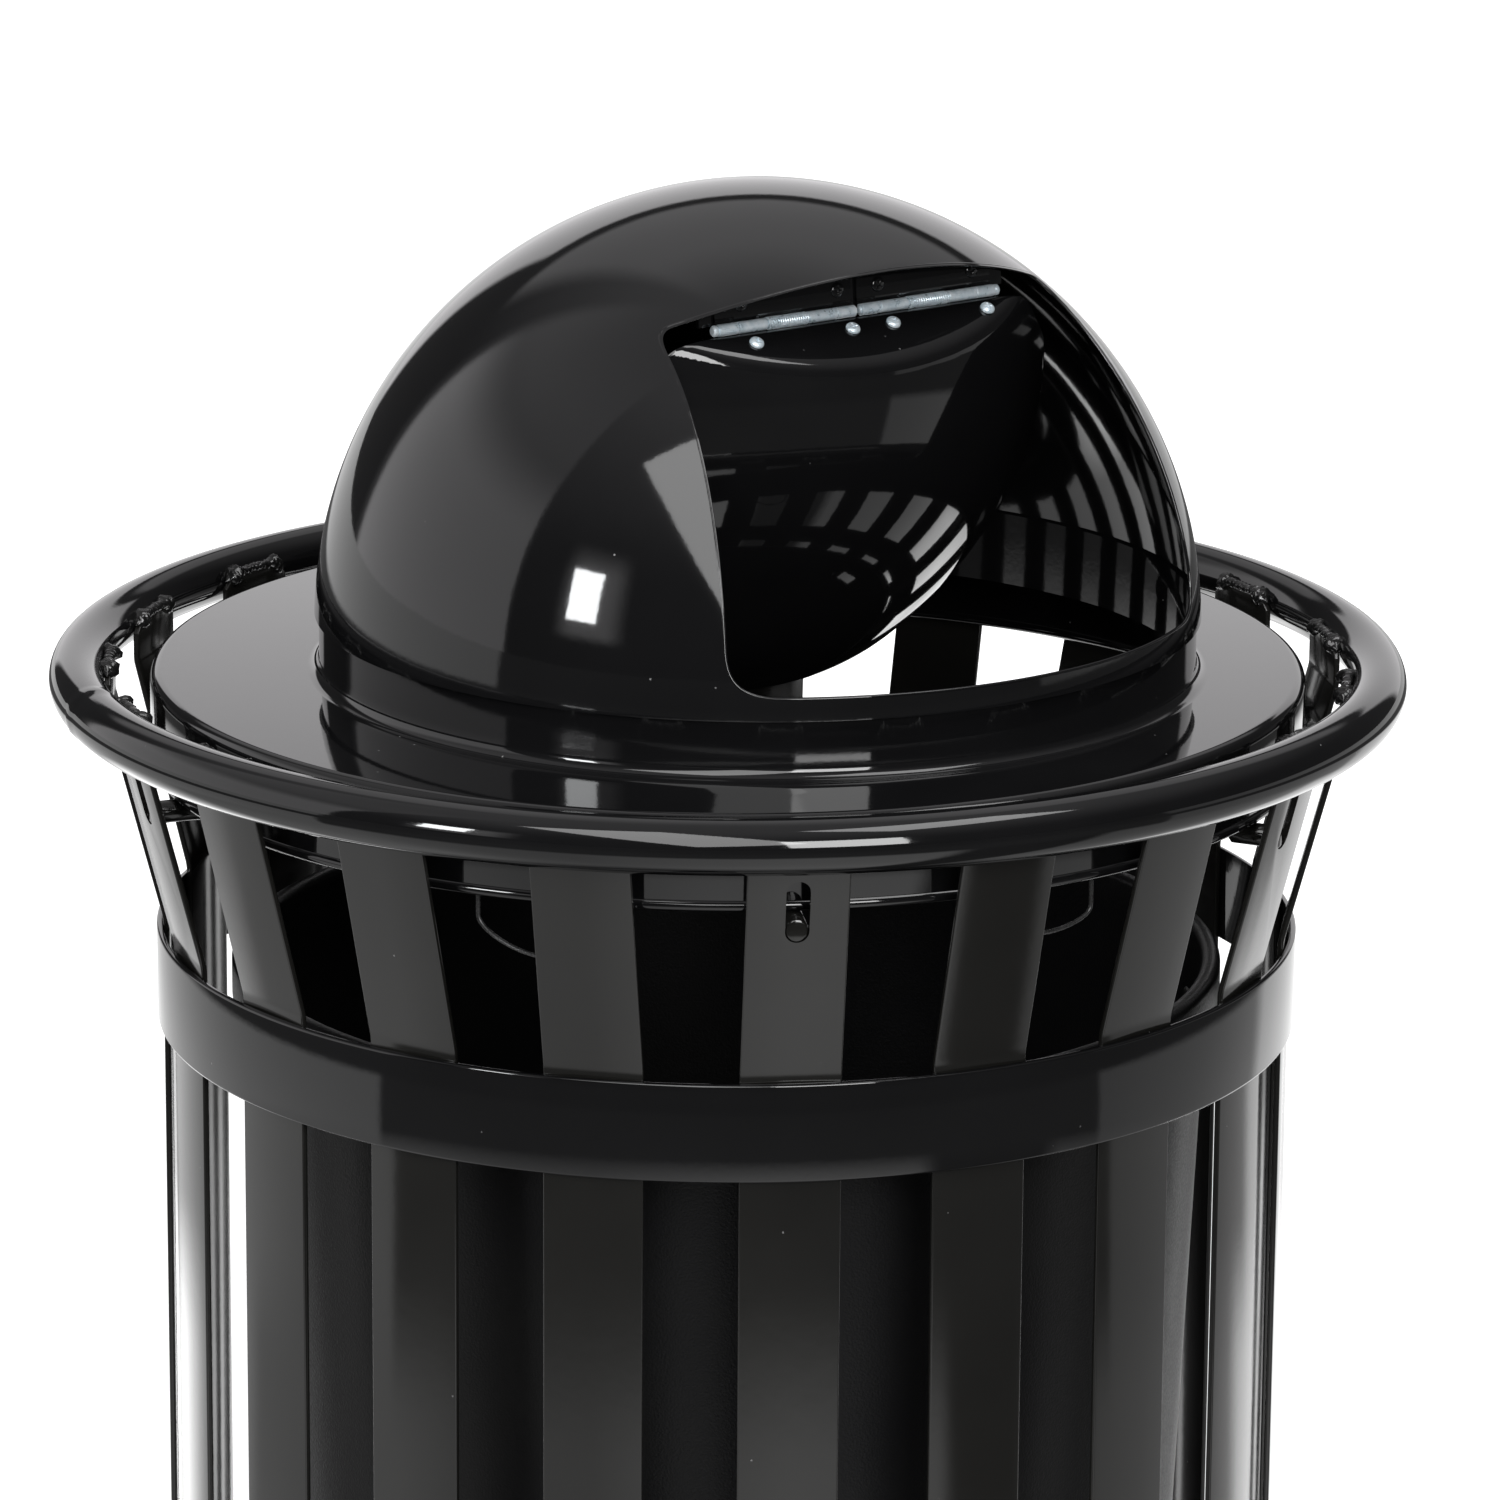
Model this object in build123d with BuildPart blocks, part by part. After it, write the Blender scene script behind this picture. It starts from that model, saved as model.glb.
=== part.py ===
from build123d import *
from math import atan2, cos, degrees, pi, radians, sin, sqrt
import os

# Slatted steel litter bin with a lift-off domed lid, a sprung push flap and a plastic liner.
# Millimetres. +Z is up, the door faces -Y and the origin is on the bin's axis at the floor.
# Azimuths are in degrees from -Y towards +X.

# ---- body ----
RIM_Z = 850.0            # centre of the rim tube
RIM_R = 341.3            # centre-line radius of the rim tube (711 mm over the tube)
TUBE_R = 14.3            # 1-1/8 in tube
TUBE_WALL = 2.1
SLAT_COUNT = 19
SLAT_W = 50.8
SLAT_T = 3.2
SLAT_BOTTOM_Z = 40.0
SLAT_TOP_Z = 854.0
SLAT_FACE_R = 297.1      # outer face of the upright length
SLAT_TOP_FACE_R = 325.9  # outer face where it meets the rim tube
BEND_LOW_Z = RIM_Z - 129.5
BEND_HIGH_Z = RIM_Z - 18.0
SLOT_AZ0 = -30.3         # azimuth of one slotted slat
SLAT_PITCH = 360.0 / SLAT_COUNT
SLOT_EVERY = 3
SLOT_W = 12.0
SLOT_Z = (RIM_Z - 56.4, RIM_Z - 23.0)
BAND_R = 301.3
BAND_T = 3.0
BAND_H = 50.8
UPPER_BAND_Z = RIM_Z - 184.6
RIB_R = 293.3            # hoop inside the slat feet
RIB_T = 3.2
ARM_W = 50.8
PLATE_T = 6.4
PLATE_Z = 44.0
ANCHOR_R = 7.15          # 9/16 in hole for a 1/2 in anchor bolt
FOOT_R = 225.0           # radius the levelling feet stand on
FOOT_AZ = 45.0
PIN_R = 5.9              # lid rest pins in the slats' slots
PIN_Z = RIM_Z - 50.4

# ---- liner ----
LINER_RIM_R = 262.0
LINER_WALL_R = 251.0
LINER_FOOT_R = 229.0
LINER_T = 4.0
LINER_Z0 = PLATE_Z + PLATE_T + 0.05
LINER_RIM_Z = 699.0
HAND_HOLE_AZ = 54.0

# ---- lid ----
LID_TOP_Z = RIM_Z + 4.4
LID_R = 303.0
LID_T = 2.0
HEM_Z = PIN_Z + PIN_R + 0.05   # lowest point of the skirt, standing on the pins
HEM_R = 3.0
DOME_X = 8.0                   # the dome stands off-centre on the lid, towards the door
DOME_Y = -15.0
DOME_Z = RIM_Z + 27.5
DOME_R = 232.0
DOME_T = 1.7
DOME_FOOT_Z = RIM_Z + 34.5
NECK_R = 229.6
NECK_T = 1.7
NECK_TOP_Z = RIM_Z + 42.0
NECK_FILLET = 6.0

# ---- door ----
HINGE_F = 77.0        # hinge axis in front of the dome's centre
HINGE_H = 178.5       # and above it
HINGE_X = DOME_X + 4.0  # middle of the hinge pair
OPEN_REST = 59.0      # degrees the flap stands open at rest, from closed
FLAP_R = 225.5
FLAP_T = 1.9
FACET_TILT = 27.0     # slope of the hinge flange when the flap is closed
FACET_N = -0.1        # outer face of the flange, measured from the hinge axis
FACET_S = 4.7         # edge of the flange in front of the hinge axis
LEAF_T = 1.5
BARREL_R = 3.5
PIN_HINGE_R = 2.0
LEAF_TILT = 95.0      # slope of the fixed leaves
SCREW_X = (-71.5, -10.5, 15.5, 76.5)
SCREW_S = 12.5
FIX_SCREW_B = 11.5

DOME_CENTRE = Vector(DOME_X, DOME_Y, DOME_Z)
HINGE = Vector(HINGE_X, DOME_Y - HINGE_F, DOME_Z + HINGE_H)
HINGE_AXIS = Axis((HINGE.X, HINGE.Y, HINGE.Z), (1, 0, 0))


def outward(azimuth):
    """Unit vector pointing out from the bin's axis at an azimuth."""
    a = radians(azimuth)
    return Vector(sin(a), -cos(a), 0)


def radial_plane(azimuth, shift=0.0):
    """Upright plane through the axis: local x is the radius, local y is height."""
    d = outward(azimuth)
    side = Vector(-d.Y, d.X, 0)
    return Plane(origin=side * shift, x_dir=d, z_dir=d.cross(Vector(0, 0, 1)))


def side_point(azimuth, radius, across, z):
    """Point at a radius, a distance sideways (towards greater azimuth) and a height."""
    d = outward(azimuth)
    side = Vector(-d.Y, d.X, 0)
    return d * radius + side * across + Vector(0, 0, z)


def door_plane(tilt, x):
    """Plane across the door at x, facing -X: local x runs forward and up by tilt."""
    t = radians(tilt)
    a = Vector(0, -cos(t), sin(t))
    n = Vector(0, sin(t), cos(t))
    return Plane(origin=(HINGE_X + x, HINGE.Y, HINGE.Z), x_dir=a, z_dir=a.cross(n))


def door_point(tilt, x, along, off):
    """Point near the hinge in the directions of door_plane."""
    t = radians(tilt)
    a = Vector(0, -cos(t), sin(t))
    n = Vector(0, sin(t), cos(t))
    return Vector(HINGE_X + x, HINGE.Y, HINGE.Z) + a * along + n * off


def door_normal(tilt):
    t = radians(tilt)
    return Vector(0, sin(t), cos(t))


def slat_azimuths(slotted):
    for i in range(SLAT_COUNT):
        if (i % SLOT_EVERY == 0 and i < SLAT_COUNT - 1) == slotted:
            yield SLOT_AZ0 + i * SLAT_PITCH


def slat_face(z):
    """Radius of a slat's outer face at a height."""
    if z <= BEND_LOW_Z:
        return SLAT_FACE_R
    if z >= BEND_HIGH_Z:
        return SLAT_TOP_FACE_R
    rise = (z - BEND_LOW_Z) / (BEND_HIGH_Z - BEND_LOW_Z)
    return SLAT_FACE_R + rise * (SLAT_TOP_FACE_R - SLAT_FACE_R)


def slat_profile():
    """Side view of the bent bar, as (radius, height) points."""
    tilt = atan2(SLAT_TOP_FACE_R - SLAT_FACE_R, BEND_HIGH_Z - BEND_LOW_Z)
    dz = SLAT_T * (1 - cos(tilt)) / sin(tilt)
    outer = [(SLAT_FACE_R, SLAT_BOTTOM_Z), (SLAT_FACE_R, BEND_LOW_Z),
             (SLAT_TOP_FACE_R, BEND_HIGH_Z), (SLAT_TOP_FACE_R, SLAT_TOP_Z)]
    inner = [(SLAT_TOP_FACE_R - SLAT_T, SLAT_TOP_Z), (SLAT_TOP_FACE_R - SLAT_T, BEND_HIGH_Z + dz),
             (SLAT_FACE_R - SLAT_T, BEND_LOW_Z + dz), (SLAT_FACE_R - SLAT_T, SLAT_BOTTOM_Z)]
    return outer + inner


def rings_at(builder, radius):
    """Circular edges of a radius."""
    return builder.edges().filter_by(GeomType.CIRCLE).filter_by(lambda e: abs(e.radius - radius) < 0.02)


def ring_profile(r_in, r_out, z0, z1):
    with BuildSketch(Plane.XZ) as s:
        with Locations(((r_in + r_out) / 2, (z0 + z1) / 2)):
            Rectangle(r_out - r_in, z1 - z0)
    return s.sketch


def slats(slotted):
    with BuildPart() as bars:
        for azimuth in slat_azimuths(slotted):
            with BuildSketch(radial_plane(azimuth)):
                Polygon(*slat_profile(), align=None)
            extrude(amount=SLAT_W / 2, both=True)
        if slotted:
            mid_z = sum(SLOT_Z) / 2
            for azimuth in slat_azimuths(True):
                d = outward(azimuth)
                face = Plane(origin=d * 280 + Vector(0, 0, mid_z), x_dir=Vector(0, 0, 1), z_dir=d)
                with BuildSketch(face):
                    SlotOverall(SLOT_Z[1] - SLOT_Z[0], SLOT_W)
                extrude(amount=60, mode=Mode.SUBTRACT)
        top_corners = bars.edges().filter_by(
            lambda e: e.center().Z > SLAT_TOP_Z - 0.1 and e.length < SLAT_T + 0.1)
        chamfer(top_corners, length=7)
    return bars.part


# ---------------------------------------------------------------- body pieces
with BuildPart() as rim_tube:
    with BuildSketch(Plane.XZ):
        with Locations((RIM_R, RIM_Z)):
            Circle(TUBE_R)
            Circle(TUBE_R - TUBE_WALL, mode=Mode.SUBTRACT)
    revolve(axis=Axis.Z)

plain_slats = slats(False)
slotted_slats = slats(True)

with BuildPart() as upper_band:
    add(ring_profile(BAND_R - BAND_T, BAND_R, UPPER_BAND_Z, UPPER_BAND_Z + BAND_H))
    revolve(axis=Axis.Z)
    fillet(rings_at(upper_band, BAND_R), 0.8)

with BuildPart() as lower_band:
    add(ring_profile(BAND_R - BAND_T, BAND_R, SLAT_BOTTOM_Z, SLAT_BOTTOM_Z + BAND_H))
    revolve(axis=Axis.Z)
    fillet(rings_at(lower_band, BAND_R), 0.8)

with BuildPart() as base_hoop:
    add(ring_profile(RIB_R - RIB_T, RIB_R, SLAT_BOTTOM_Z, SLAT_BOTTOM_Z + 38))
    revolve(axis=Axis.Z)

# Laser-cut cross plate inside the hoop: it carries the liner and takes the anchor bolt.
with BuildPart() as base_plate:
    with BuildSketch(Plane.XY.offset(PLATE_Z)):
        Circle(70)
        for azimuth in (FOOT_AZ, FOOT_AZ + 90):
            Rectangle(2 * RIB_R, ARM_W, rotation=azimuth)
        fillet([v for v in vertices() if 40 < Vector(*v).length < 120], 12)
        Circle(RIB_R - RIB_T - 0.1, mode=Mode.INTERSECT)
        Circle(ANCHOR_R, mode=Mode.SUBTRACT)
        with PolarLocations(FOOT_R, 4, start_angle=FOOT_AZ):
            Circle(5.6, mode=Mode.SUBTRACT)
        with PolarLocations(140, 4, start_angle=FOOT_AZ):
            SlotOverall(60, 14, mode=Mode.SUBTRACT)
    extrude(amount=PLATE_T)

with BuildPart() as foot_nuts:
    with BuildSketch(Plane.XY.offset(PLATE_Z - 8.4)):
        with PolarLocations(FOOT_R, 4, start_angle=FOOT_AZ):
            RegularPolygon(9.2, 6)
            Circle(5.05, mode=Mode.SUBTRACT)
    extrude(amount=8.4)

with BuildPart() as lock_nuts:
    with BuildSketch(Plane.XY.offset(PLATE_Z - 15.4)):
        with PolarLocations(FOOT_R, 4, start_angle=FOOT_AZ):
            RegularPolygon(9.2, 6)
            Circle(5.05, mode=Mode.SUBTRACT)
    extrude(amount=6.4)

# Levelling foot: a round pad with its stud, which ends flush with the top of the cross plate.
with BuildPart() as levelling_feet:
    for k in range(4):
        a = radians(FOOT_AZ + 90 * k)
        at = Plane(origin=(FOOT_R * cos(a), FOOT_R * sin(a), 0))
        with BuildSketch(at):
            Circle(22)
        extrude(amount=6)
        with BuildSketch(at.offset(6)):
            Circle(17)
        extrude(amount=7, taper=30)
        with BuildSketch(at.offset(10)):
            Circle(5)
        extrude(amount=PLATE_Z + PLATE_T - 11)
    fillet([e for e in rings_at(levelling_feet, 22) if e.center().Z > 5], 2)

# Round pins welded in the foot of each slot: the lid's hem stands on them.
with BuildPart() as lid_rest_pins:
    for azimuth in slat_azimuths(True):
        d = outward(azimuth)
        with BuildSketch(Plane(origin=d * 289 + Vector(0, 0, PIN_Z), z_dir=d)):
            Circle(PIN_R)
        extrude(amount=27)
    chamfer(rings_at(lid_rest_pins, PIN_R), 1.2)

# Weld beads that join the clipped top corners of every slat to the rim tube.
with BuildPart() as rim_welds:
    for i in range(SLAT_COUNT):
        azimuth = SLOT_AZ0 + i * SLAT_PITCH
        d = outward(azimuth)
        side = Vector(-d.Y, d.X, 0)
        for across in (-1, 1):
            centre = side_point(azimuth, SLAT_TOP_FACE_R - 1.6, across * 16.5, SLAT_TOP_Z + 0.6)
            with BuildSketch(Plane(origin=centre - side * 7, z_dir=side)):
                Circle(3.1)
            extrude(amount=14)
    fillet(rim_welds.edges().filter_by(GeomType.CIRCLE), 2.6)

# ---------------------------------------------------------------- liner
with BuildPart() as liner:
    with BuildSketch(Plane.XZ):
        with BuildLine():
            Polyline((0, LINER_Z0), (LINER_FOOT_R, LINER_Z0), (LINER_WALL_R, LINER_RIM_Z),
                     (LINER_WALL_R - LINER_T, LINER_RIM_Z),
                     (LINER_FOOT_R - LINER_T, LINER_Z0 + LINER_T), (0, LINER_Z0 + LINER_T),
                     (0, LINER_Z0))
        make_face()
        fillet([v for v in vertices() if abs(v.X - LINER_FOOT_R) < 0.1], 14)
        fillet([v for v in vertices() if abs(v.X - LINER_FOOT_R + LINER_T) < 0.1], 10)
    revolve(axis=Axis.Z)
    with BuildSketch(Plane.XZ):
        with BuildLine():
            lip_in = LINER_WALL_R - LINER_T
            Polyline((lip_in, LINER_RIM_Z - 6), (lip_in, LINER_RIM_Z), (LINER_RIM_R, LINER_RIM_Z),
                     (LINER_RIM_R, LINER_RIM_Z - 24), (LINER_RIM_R - 3.5, LINER_RIM_Z - 24),
                     (LINER_RIM_R - 3.5, LINER_RIM_Z - 6), (lip_in, LINER_RIM_Z - 6))
        make_face()
        fillet([v for v in vertices() if abs(v.Y - LINER_RIM_Z) < 0.1], 2.6)
    revolve(axis=Axis.Z)
    # two hand holes under the lip, across the bin
    across = outward(HAND_HOLE_AZ)
    level = Vector(across.Y, -across.X, 0)
    with BuildSketch(Plane(origin=(0, 0, LINER_RIM_Z - 48), x_dir=level, z_dir=across)):
        SlotOverall(96, 26)
    extrude(amount=300, both=True, mode=Mode.SUBTRACT)

# ---------------------------------------------------------------- lid
with BuildPart() as lid_pan:
    with BuildSketch(Plane.XZ):
        with BuildLine():
            Polyline((0, LID_TOP_Z - LID_T), (LID_R - LID_T, LID_TOP_Z - LID_T),
                     (LID_R - LID_T, HEM_Z + HEM_R), (LID_R, HEM_Z + HEM_R), (LID_R, LID_TOP_Z),
                     (0, LID_TOP_Z), (0, LID_TOP_Z - LID_T))
        make_face()
        fillet([v for v in vertices() if abs(v.X - LID_R) < 0.1 and v.Y > LID_TOP_Z - 0.1], 6)
        fillet([v for v in vertices() if abs(v.X - LID_R + LID_T) < 0.1
                and abs(v.Y - LID_TOP_Z + LID_T) < 0.1], 4)
    revolve(axis=Axis.Z)
    with BuildSketch(Plane.XZ):
        with Locations((LID_R - 1.6, HEM_Z + HEM_R)):
            Circle(HEM_R)
    revolve(axis=Axis.Z)
    with BuildSketch(Plane.XY.offset(LID_TOP_Z - LID_T)):
        with Locations((DOME_X, DOME_Y)):
            Circle(NECK_R)
    extrude(amount=NECK_TOP_Z - LID_TOP_Z + LID_T)
    fillet([e for e in rings_at(lid_pan, NECK_R) if abs(e.center().Z - LID_TOP_Z) < 0.1], NECK_FILLET)
    with BuildSketch(Plane.XY.offset(LID_TOP_Z - 20)):
        with Locations((DOME_X, DOME_Y)):
            Circle(NECK_R - NECK_T)
    extrude(amount=100, mode=Mode.SUBTRACT)


def opening_sketch():
    """Door opening as seen from the front, at its real size."""
    low = DOME_Z + 18.3
    with BuildSketch(Plane.XZ.offset(-DOME_Y)) as s:
        with BuildLine():
            ThreePointArc((DOME_X - 150, low), (DOME_X - 142.7, DOME_Z + 93.5),
                          (DOME_X - 122, DOME_Z + 182))
            ThreePointArc((DOME_X - 122, DOME_Z + 182), (DOME_X, DOME_Z + 204.9),
                          (DOME_X + 122, DOME_Z + 182))
            ThreePointArc((DOME_X + 122, DOME_Z + 182), (DOME_X + 142.7, DOME_Z + 93.5),
                          (DOME_X + 150, low))
            Line((DOME_X + 150, low), (DOME_X - 150, low))
        make_face()
        fillet([v for v in vertices() if abs(v.Y - low) < 0.5], 22)
        fillet([v for v in vertices() if abs(v.Y - DOME_Z - 182) < 1.0], 17)
    return s.sketch


with BuildPart() as dome_shell:
    foot = DOME_FOOT_Z - DOME_Z
    with BuildSketch(Plane.XZ.offset(-DOME_Y)):
        with Locations((DOME_X, DOME_Z)):
            Circle(DOME_R)
            Circle(DOME_R - DOME_T, mode=Mode.SUBTRACT)
        with Locations((DOME_X + DOME_R / 2, DOME_Z + foot + DOME_R / 2)):
            Rectangle(DOME_R, DOME_R, mode=Mode.INTERSECT)
    revolve(axis=Axis((DOME_X, DOME_Y, 0), (0, 0, 1)))
    extrude(opening_sketch(), amount=DOME_R + 20, dir=(0, -1, 0), mode=Mode.SUBTRACT)

# Strip inside the dome above the opening; its top edge is welded to the dome.
with BuildPart() as hinge_strip:
    with BuildSketch(door_plane(LEAF_TILT, 97)):
        with Locations((2 + 30, 4.8)):
            Rectangle(60, 2.5)
    extrude(amount=194)
    with Locations((DOME_X, DOME_Y, DOME_Z)):
        Sphere(DOME_R - DOME_T - 0.05, mode=Mode.INTERSECT)
    for x in SCREW_X:
        spot = door_point(LEAF_TILT, x, FIX_SCREW_B, -10)
        with BuildSketch(Plane(origin=spot, z_dir=door_normal(LEAF_TILT))):
            Circle(2.2)
        extrude(amount=30, mode=Mode.SUBTRACT)


def leaf(tilt, x_from, x_to, knuckles, side, length):
    """One hinge leaf: a plate with rolled knuckles. side is the face of the barrel it touches."""
    off = side * (BARREL_R - LEAF_T / 2)
    outer_x = max(abs(x_from), abs(x_to))
    with BuildPart() as one:
        with BuildSketch(door_plane(tilt, x_to)):
            with Locations(((length + BARREL_R + 0.9) / 2, off)):
                Rectangle(length - BARREL_R - 0.9, LEAF_T)
        extrude(amount=x_to - x_from)
        far_corner = door_point(tilt, outer_x if x_to > 0 else -outer_x, length, off)
        chamfer(one.edges().sort_by(lambda e: (e.center() - far_corner).length)[0], length=5)
        for k0, k1 in knuckles:
            with BuildSketch(door_plane(tilt, k1)):
                Circle(BARREL_R)
                with Locations((BARREL_R, off)):
                    Rectangle(2 * BARREL_R, LEAF_T)
                Circle(PIN_HINGE_R + 0.05, mode=Mode.SUBTRACT)
            extrude(amount=k1 - k0)
        for x in [x for x in SCREW_X if x_from < x < x_to]:
            reach = SCREW_S if side < 0 and tilt == FACET_TILT else FIX_SCREW_B
            spot = door_point(tilt, x, reach, -12)
            with BuildSketch(Plane(origin=spot, z_dir=door_normal(tilt))):
                Circle(2.2)
            extrude(amount=24, mode=Mode.SUBTRACT)
    return one.part


def mirrored(spans):
    return [(-b, -a) for a, b in spans]


FLAP_KNUCKLES = [(14.0, 31.5), (58.5, 76.0)]
FIXED_KNUCKLES = [(1.8, 13.7), (76.3, 88.2)]

with BuildPart() as fixed_leaves:
    add(leaf(LEAF_TILT, 1.8, 88.2, FIXED_KNUCKLES, 1, 17))
    add(leaf(LEAF_TILT, -88.2, -1.8, mirrored(FIXED_KNUCKLES), 1, 17))

with BuildPart() as flap_leaves:
    add(leaf(FACET_TILT, 6, 82, FLAP_KNUCKLES, -1, 16.5))
    add(leaf(FACET_TILT, -82, -6, mirrored(FLAP_KNUCKLES), -1, 16.5))

with BuildPart() as hinge_pins:
    for x in (0.9, -89.1):
        with BuildSketch(Plane(origin=(HINGE_X + x, HINGE.Y, HINGE.Z), z_dir=(1, 0, 0))):
            Circle(PIN_HINGE_R)
        extrude(amount=88.2)
    chamfer(hinge_pins.edges().filter_by(GeomType.CIRCLE), 0.6)

# Torsion spring wound round the middle of each pin.
with BuildPart() as hinge_springs:
    for x in (32.3, -57.7):
        with BuildLine() as coil:
            Helix(pitch=1.5, height=25.4, radius=2.75, center=HINGE + Vector(x, 0, 0), direction=(1, 0, 0))
        with BuildSketch(Plane(origin=coil.line @ 0, z_dir=coil.line % 0)):
            Circle(0.6)
        sweep(path=coil.line, is_frenet=True)


def pan_screw(spot, normal, shank, head=2.3):
    """Pan-head screw: spot is on the face under the head, normal points out of the head."""
    with BuildPart() as one:
        with BuildSketch(Plane(origin=spot, z_dir=normal)):
            Circle(3.9)
        extrude(amount=head)
        rim = one.edges().filter_by(GeomType.CIRCLE).sort_by(lambda e: e.center().dot(normal))[-1]
        fillet(rim, 0.7 * head)
        cut = Plane(origin=spot + normal * 0.48 * head, z_dir=normal)
        with BuildSketch(cut):
            Rectangle(4.2, 0.8)
            Rectangle(0.8, 4.2)
        extrude(amount=3, mode=Mode.SUBTRACT)
        with BuildSketch(Plane(origin=spot, z_dir=normal * -1)):
            Circle(2.1)
        extrude(amount=shank)
    return one.part


def hex_nut(spot, normal):
    with BuildPart() as one:
        with BuildSketch(Plane(origin=spot, z_dir=normal)):
            RegularPolygon(4.1, 6)
            Circle(2.15, mode=Mode.SUBTRACT)
        extrude(amount=3)
    return one.part


BACK = door_normal(LEAF_TILT)   # points away from the door, towards the dome's middle
FRONT = BACK * -1

with BuildPart() as strip_screws:
    for x in SCREW_X:
        face = door_point(LEAF_TILT, x, FIX_SCREW_B, BARREL_R - LEAF_T)
        add(pan_screw(face, FRONT, 9.0, 1.1))

with BuildPart() as strip_nuts:
    for x in SCREW_X:
        add(hex_nut(door_point(LEAF_TILT, x, FIX_SCREW_B, 6.1), BACK))

# Flap: a pressed panel concentric with the dome when closed, with a flat hinge flange.
FACET_NORMAL = door_normal(FACET_TILT)


def flap_body(radius, facet_off, blend):
    with BuildPart() as one:
        with Locations((DOME_X, DOME_Y, DOME_Z)):
            Sphere(radius)
        on_facet = door_point(FACET_TILT, 0, 0, facet_off)
        split(bisect_by=Plane(origin=on_facet, z_dir=FACET_NORMAL * -1), keep=Keep.TOP)
        fillet(one.edges().filter_by(GeomType.CIRCLE).sort_by(lambda e: e.radius)[0], blend)
    return one.part


with BuildPart() as flap_panel:
    add(flap_body(FLAP_R, FACET_N, 9.0))
    add(flap_body(FLAP_R - FLAP_T, FACET_N - FLAP_T, 7.1), mode=Mode.SUBTRACT)
    with BuildSketch(Plane.XZ.offset(-DOME_Y)):
        with BuildLine():
            Polyline((DOME_X - 161, DOME_Z + 12.5), (DOME_X + 161, DOME_Z + 12.5),
                     (DOME_X + 133, DOME_Z + 214), (DOME_X - 133, DOME_Z + 214),
                     (DOME_X - 161, DOME_Z + 12.5))
        make_face()
        fillet([v for v in vertices() if v.Y < DOME_Z + 20], 34)
    extrude(amount=DOME_R + 20, dir=(0, -1, 0), mode=Mode.INTERSECT)
    behind = door_point(FACET_TILT, 0, FACET_S, 0)
    t = radians(FACET_TILT)
    split(bisect_by=Plane(origin=behind, z_dir=(0, -cos(t), sin(t))), keep=Keep.TOP)
    for x in SCREW_X:
        spot = door_point(FACET_TILT, x, SCREW_S, -12)
        with BuildSketch(Plane(origin=spot, z_dir=FACET_NORMAL)):
            Circle(2.2)
        extrude(amount=24, mode=Mode.SUBTRACT)

with BuildPart() as flap_screws:
    for x in SCREW_X:
        add(pan_screw(door_point(FACET_TILT, x, SCREW_S, FACET_N), FACET_NORMAL, 8.0))

with BuildPart() as flap_nuts:
    for x in SCREW_X:
        add(hex_nut(door_point(FACET_TILT, x, SCREW_S, -BARREL_R - 0.05), FACET_NORMAL * -1))

# ---------------------------------------------------------------- tether cables
CABLE_R = 1.2
TETHER_LID_R = 295.6
TETHER_TOP_Z = RIM_Z - 24.0


def tether_path(az_lid, az_frame, low, end_z):
    """A straight drop from the lid's skirt, a slack loop, and an end held at a slat."""
    top = side_point(az_lid, TETHER_LID_R, 0, TETHER_TOP_Z)
    drop = side_point(az_lid, TETHER_LID_R, 0, low)
    end = side_point(az_frame, slat_face(end_z) - SLAT_T - 3.2, 0, end_z)
    mid_az = (az_lid + az_frame) / 2
    belly = side_point(mid_az, TETHER_LID_R + 3, 0, min(low, end_z) - 8)
    with BuildLine() as path:
        Line(top, drop)
        Spline(drop, belly, end, tangents=[(0, 0, -1), (0, 0, 1)], tangent_scalars=[1.0, 1.0])
        Line(end, end + Vector(0, 0, 9))
    return path.line


TETHERS = [(-61.0, -50.6, RIM_Z - 56.0, RIM_Z - 64.0), (1.3, -12.4, RIM_Z - 60.0, RIM_Z - 40.0)]


def sleeve(centre, length, outer):
    with BuildPart() as one:
        with BuildSketch(Plane(origin=centre - Vector(0, 0, length / 2))):
            Circle(outer)
            Circle(CABLE_R + 0.05, mode=Mode.SUBTRACT)
        extrude(amount=length)
    return one.part


with BuildPart() as tether_cables:
    for tether in TETHERS:
        path = tether_path(*tether)
        with BuildSketch(Plane(origin=path @ 0, z_dir=path % 0)):
            Circle(CABLE_R)
        sweep(path=path)

# Crimped sleeves: one pair is held inside the lid's skirt, the other on the slats.
with BuildPart() as lid_ferrules:
    for az_lid, az_frame, low, end_z in TETHERS:
        add(sleeve(side_point(az_lid, TETHER_LID_R, 0, TETHER_TOP_Z - 6), 12, 3.0))

with BuildPart() as lid_lugs:
    for az_lid, az_frame, low, end_z in TETHERS:
        with BuildSketch(radial_plane(az_lid)):
            with Locations(((TETHER_LID_R + 3.05 + LID_R - LID_T - 0.1) / 2, TETHER_TOP_Z - 6)):
                Rectangle(LID_R - LID_T - 0.1 - TETHER_LID_R - 3.05, 12)
        extrude(amount=5, both=True)

with BuildPart() as slat_ferrules:
    for az_lid, az_frame, low, end_z in TETHERS:
        spot = side_point(az_frame, slat_face(end_z) - SLAT_T - 3.2, 0, end_z + 4.5)
        add(sleeve(spot, 9, 2.7))


# ---------------------------------------------------------------- files
def swung(part):
    """Turn a piece of the flap from closed to the open angle it stands at."""
    return part.rotate(HINGE_AXIS, OPEN_REST)


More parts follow.
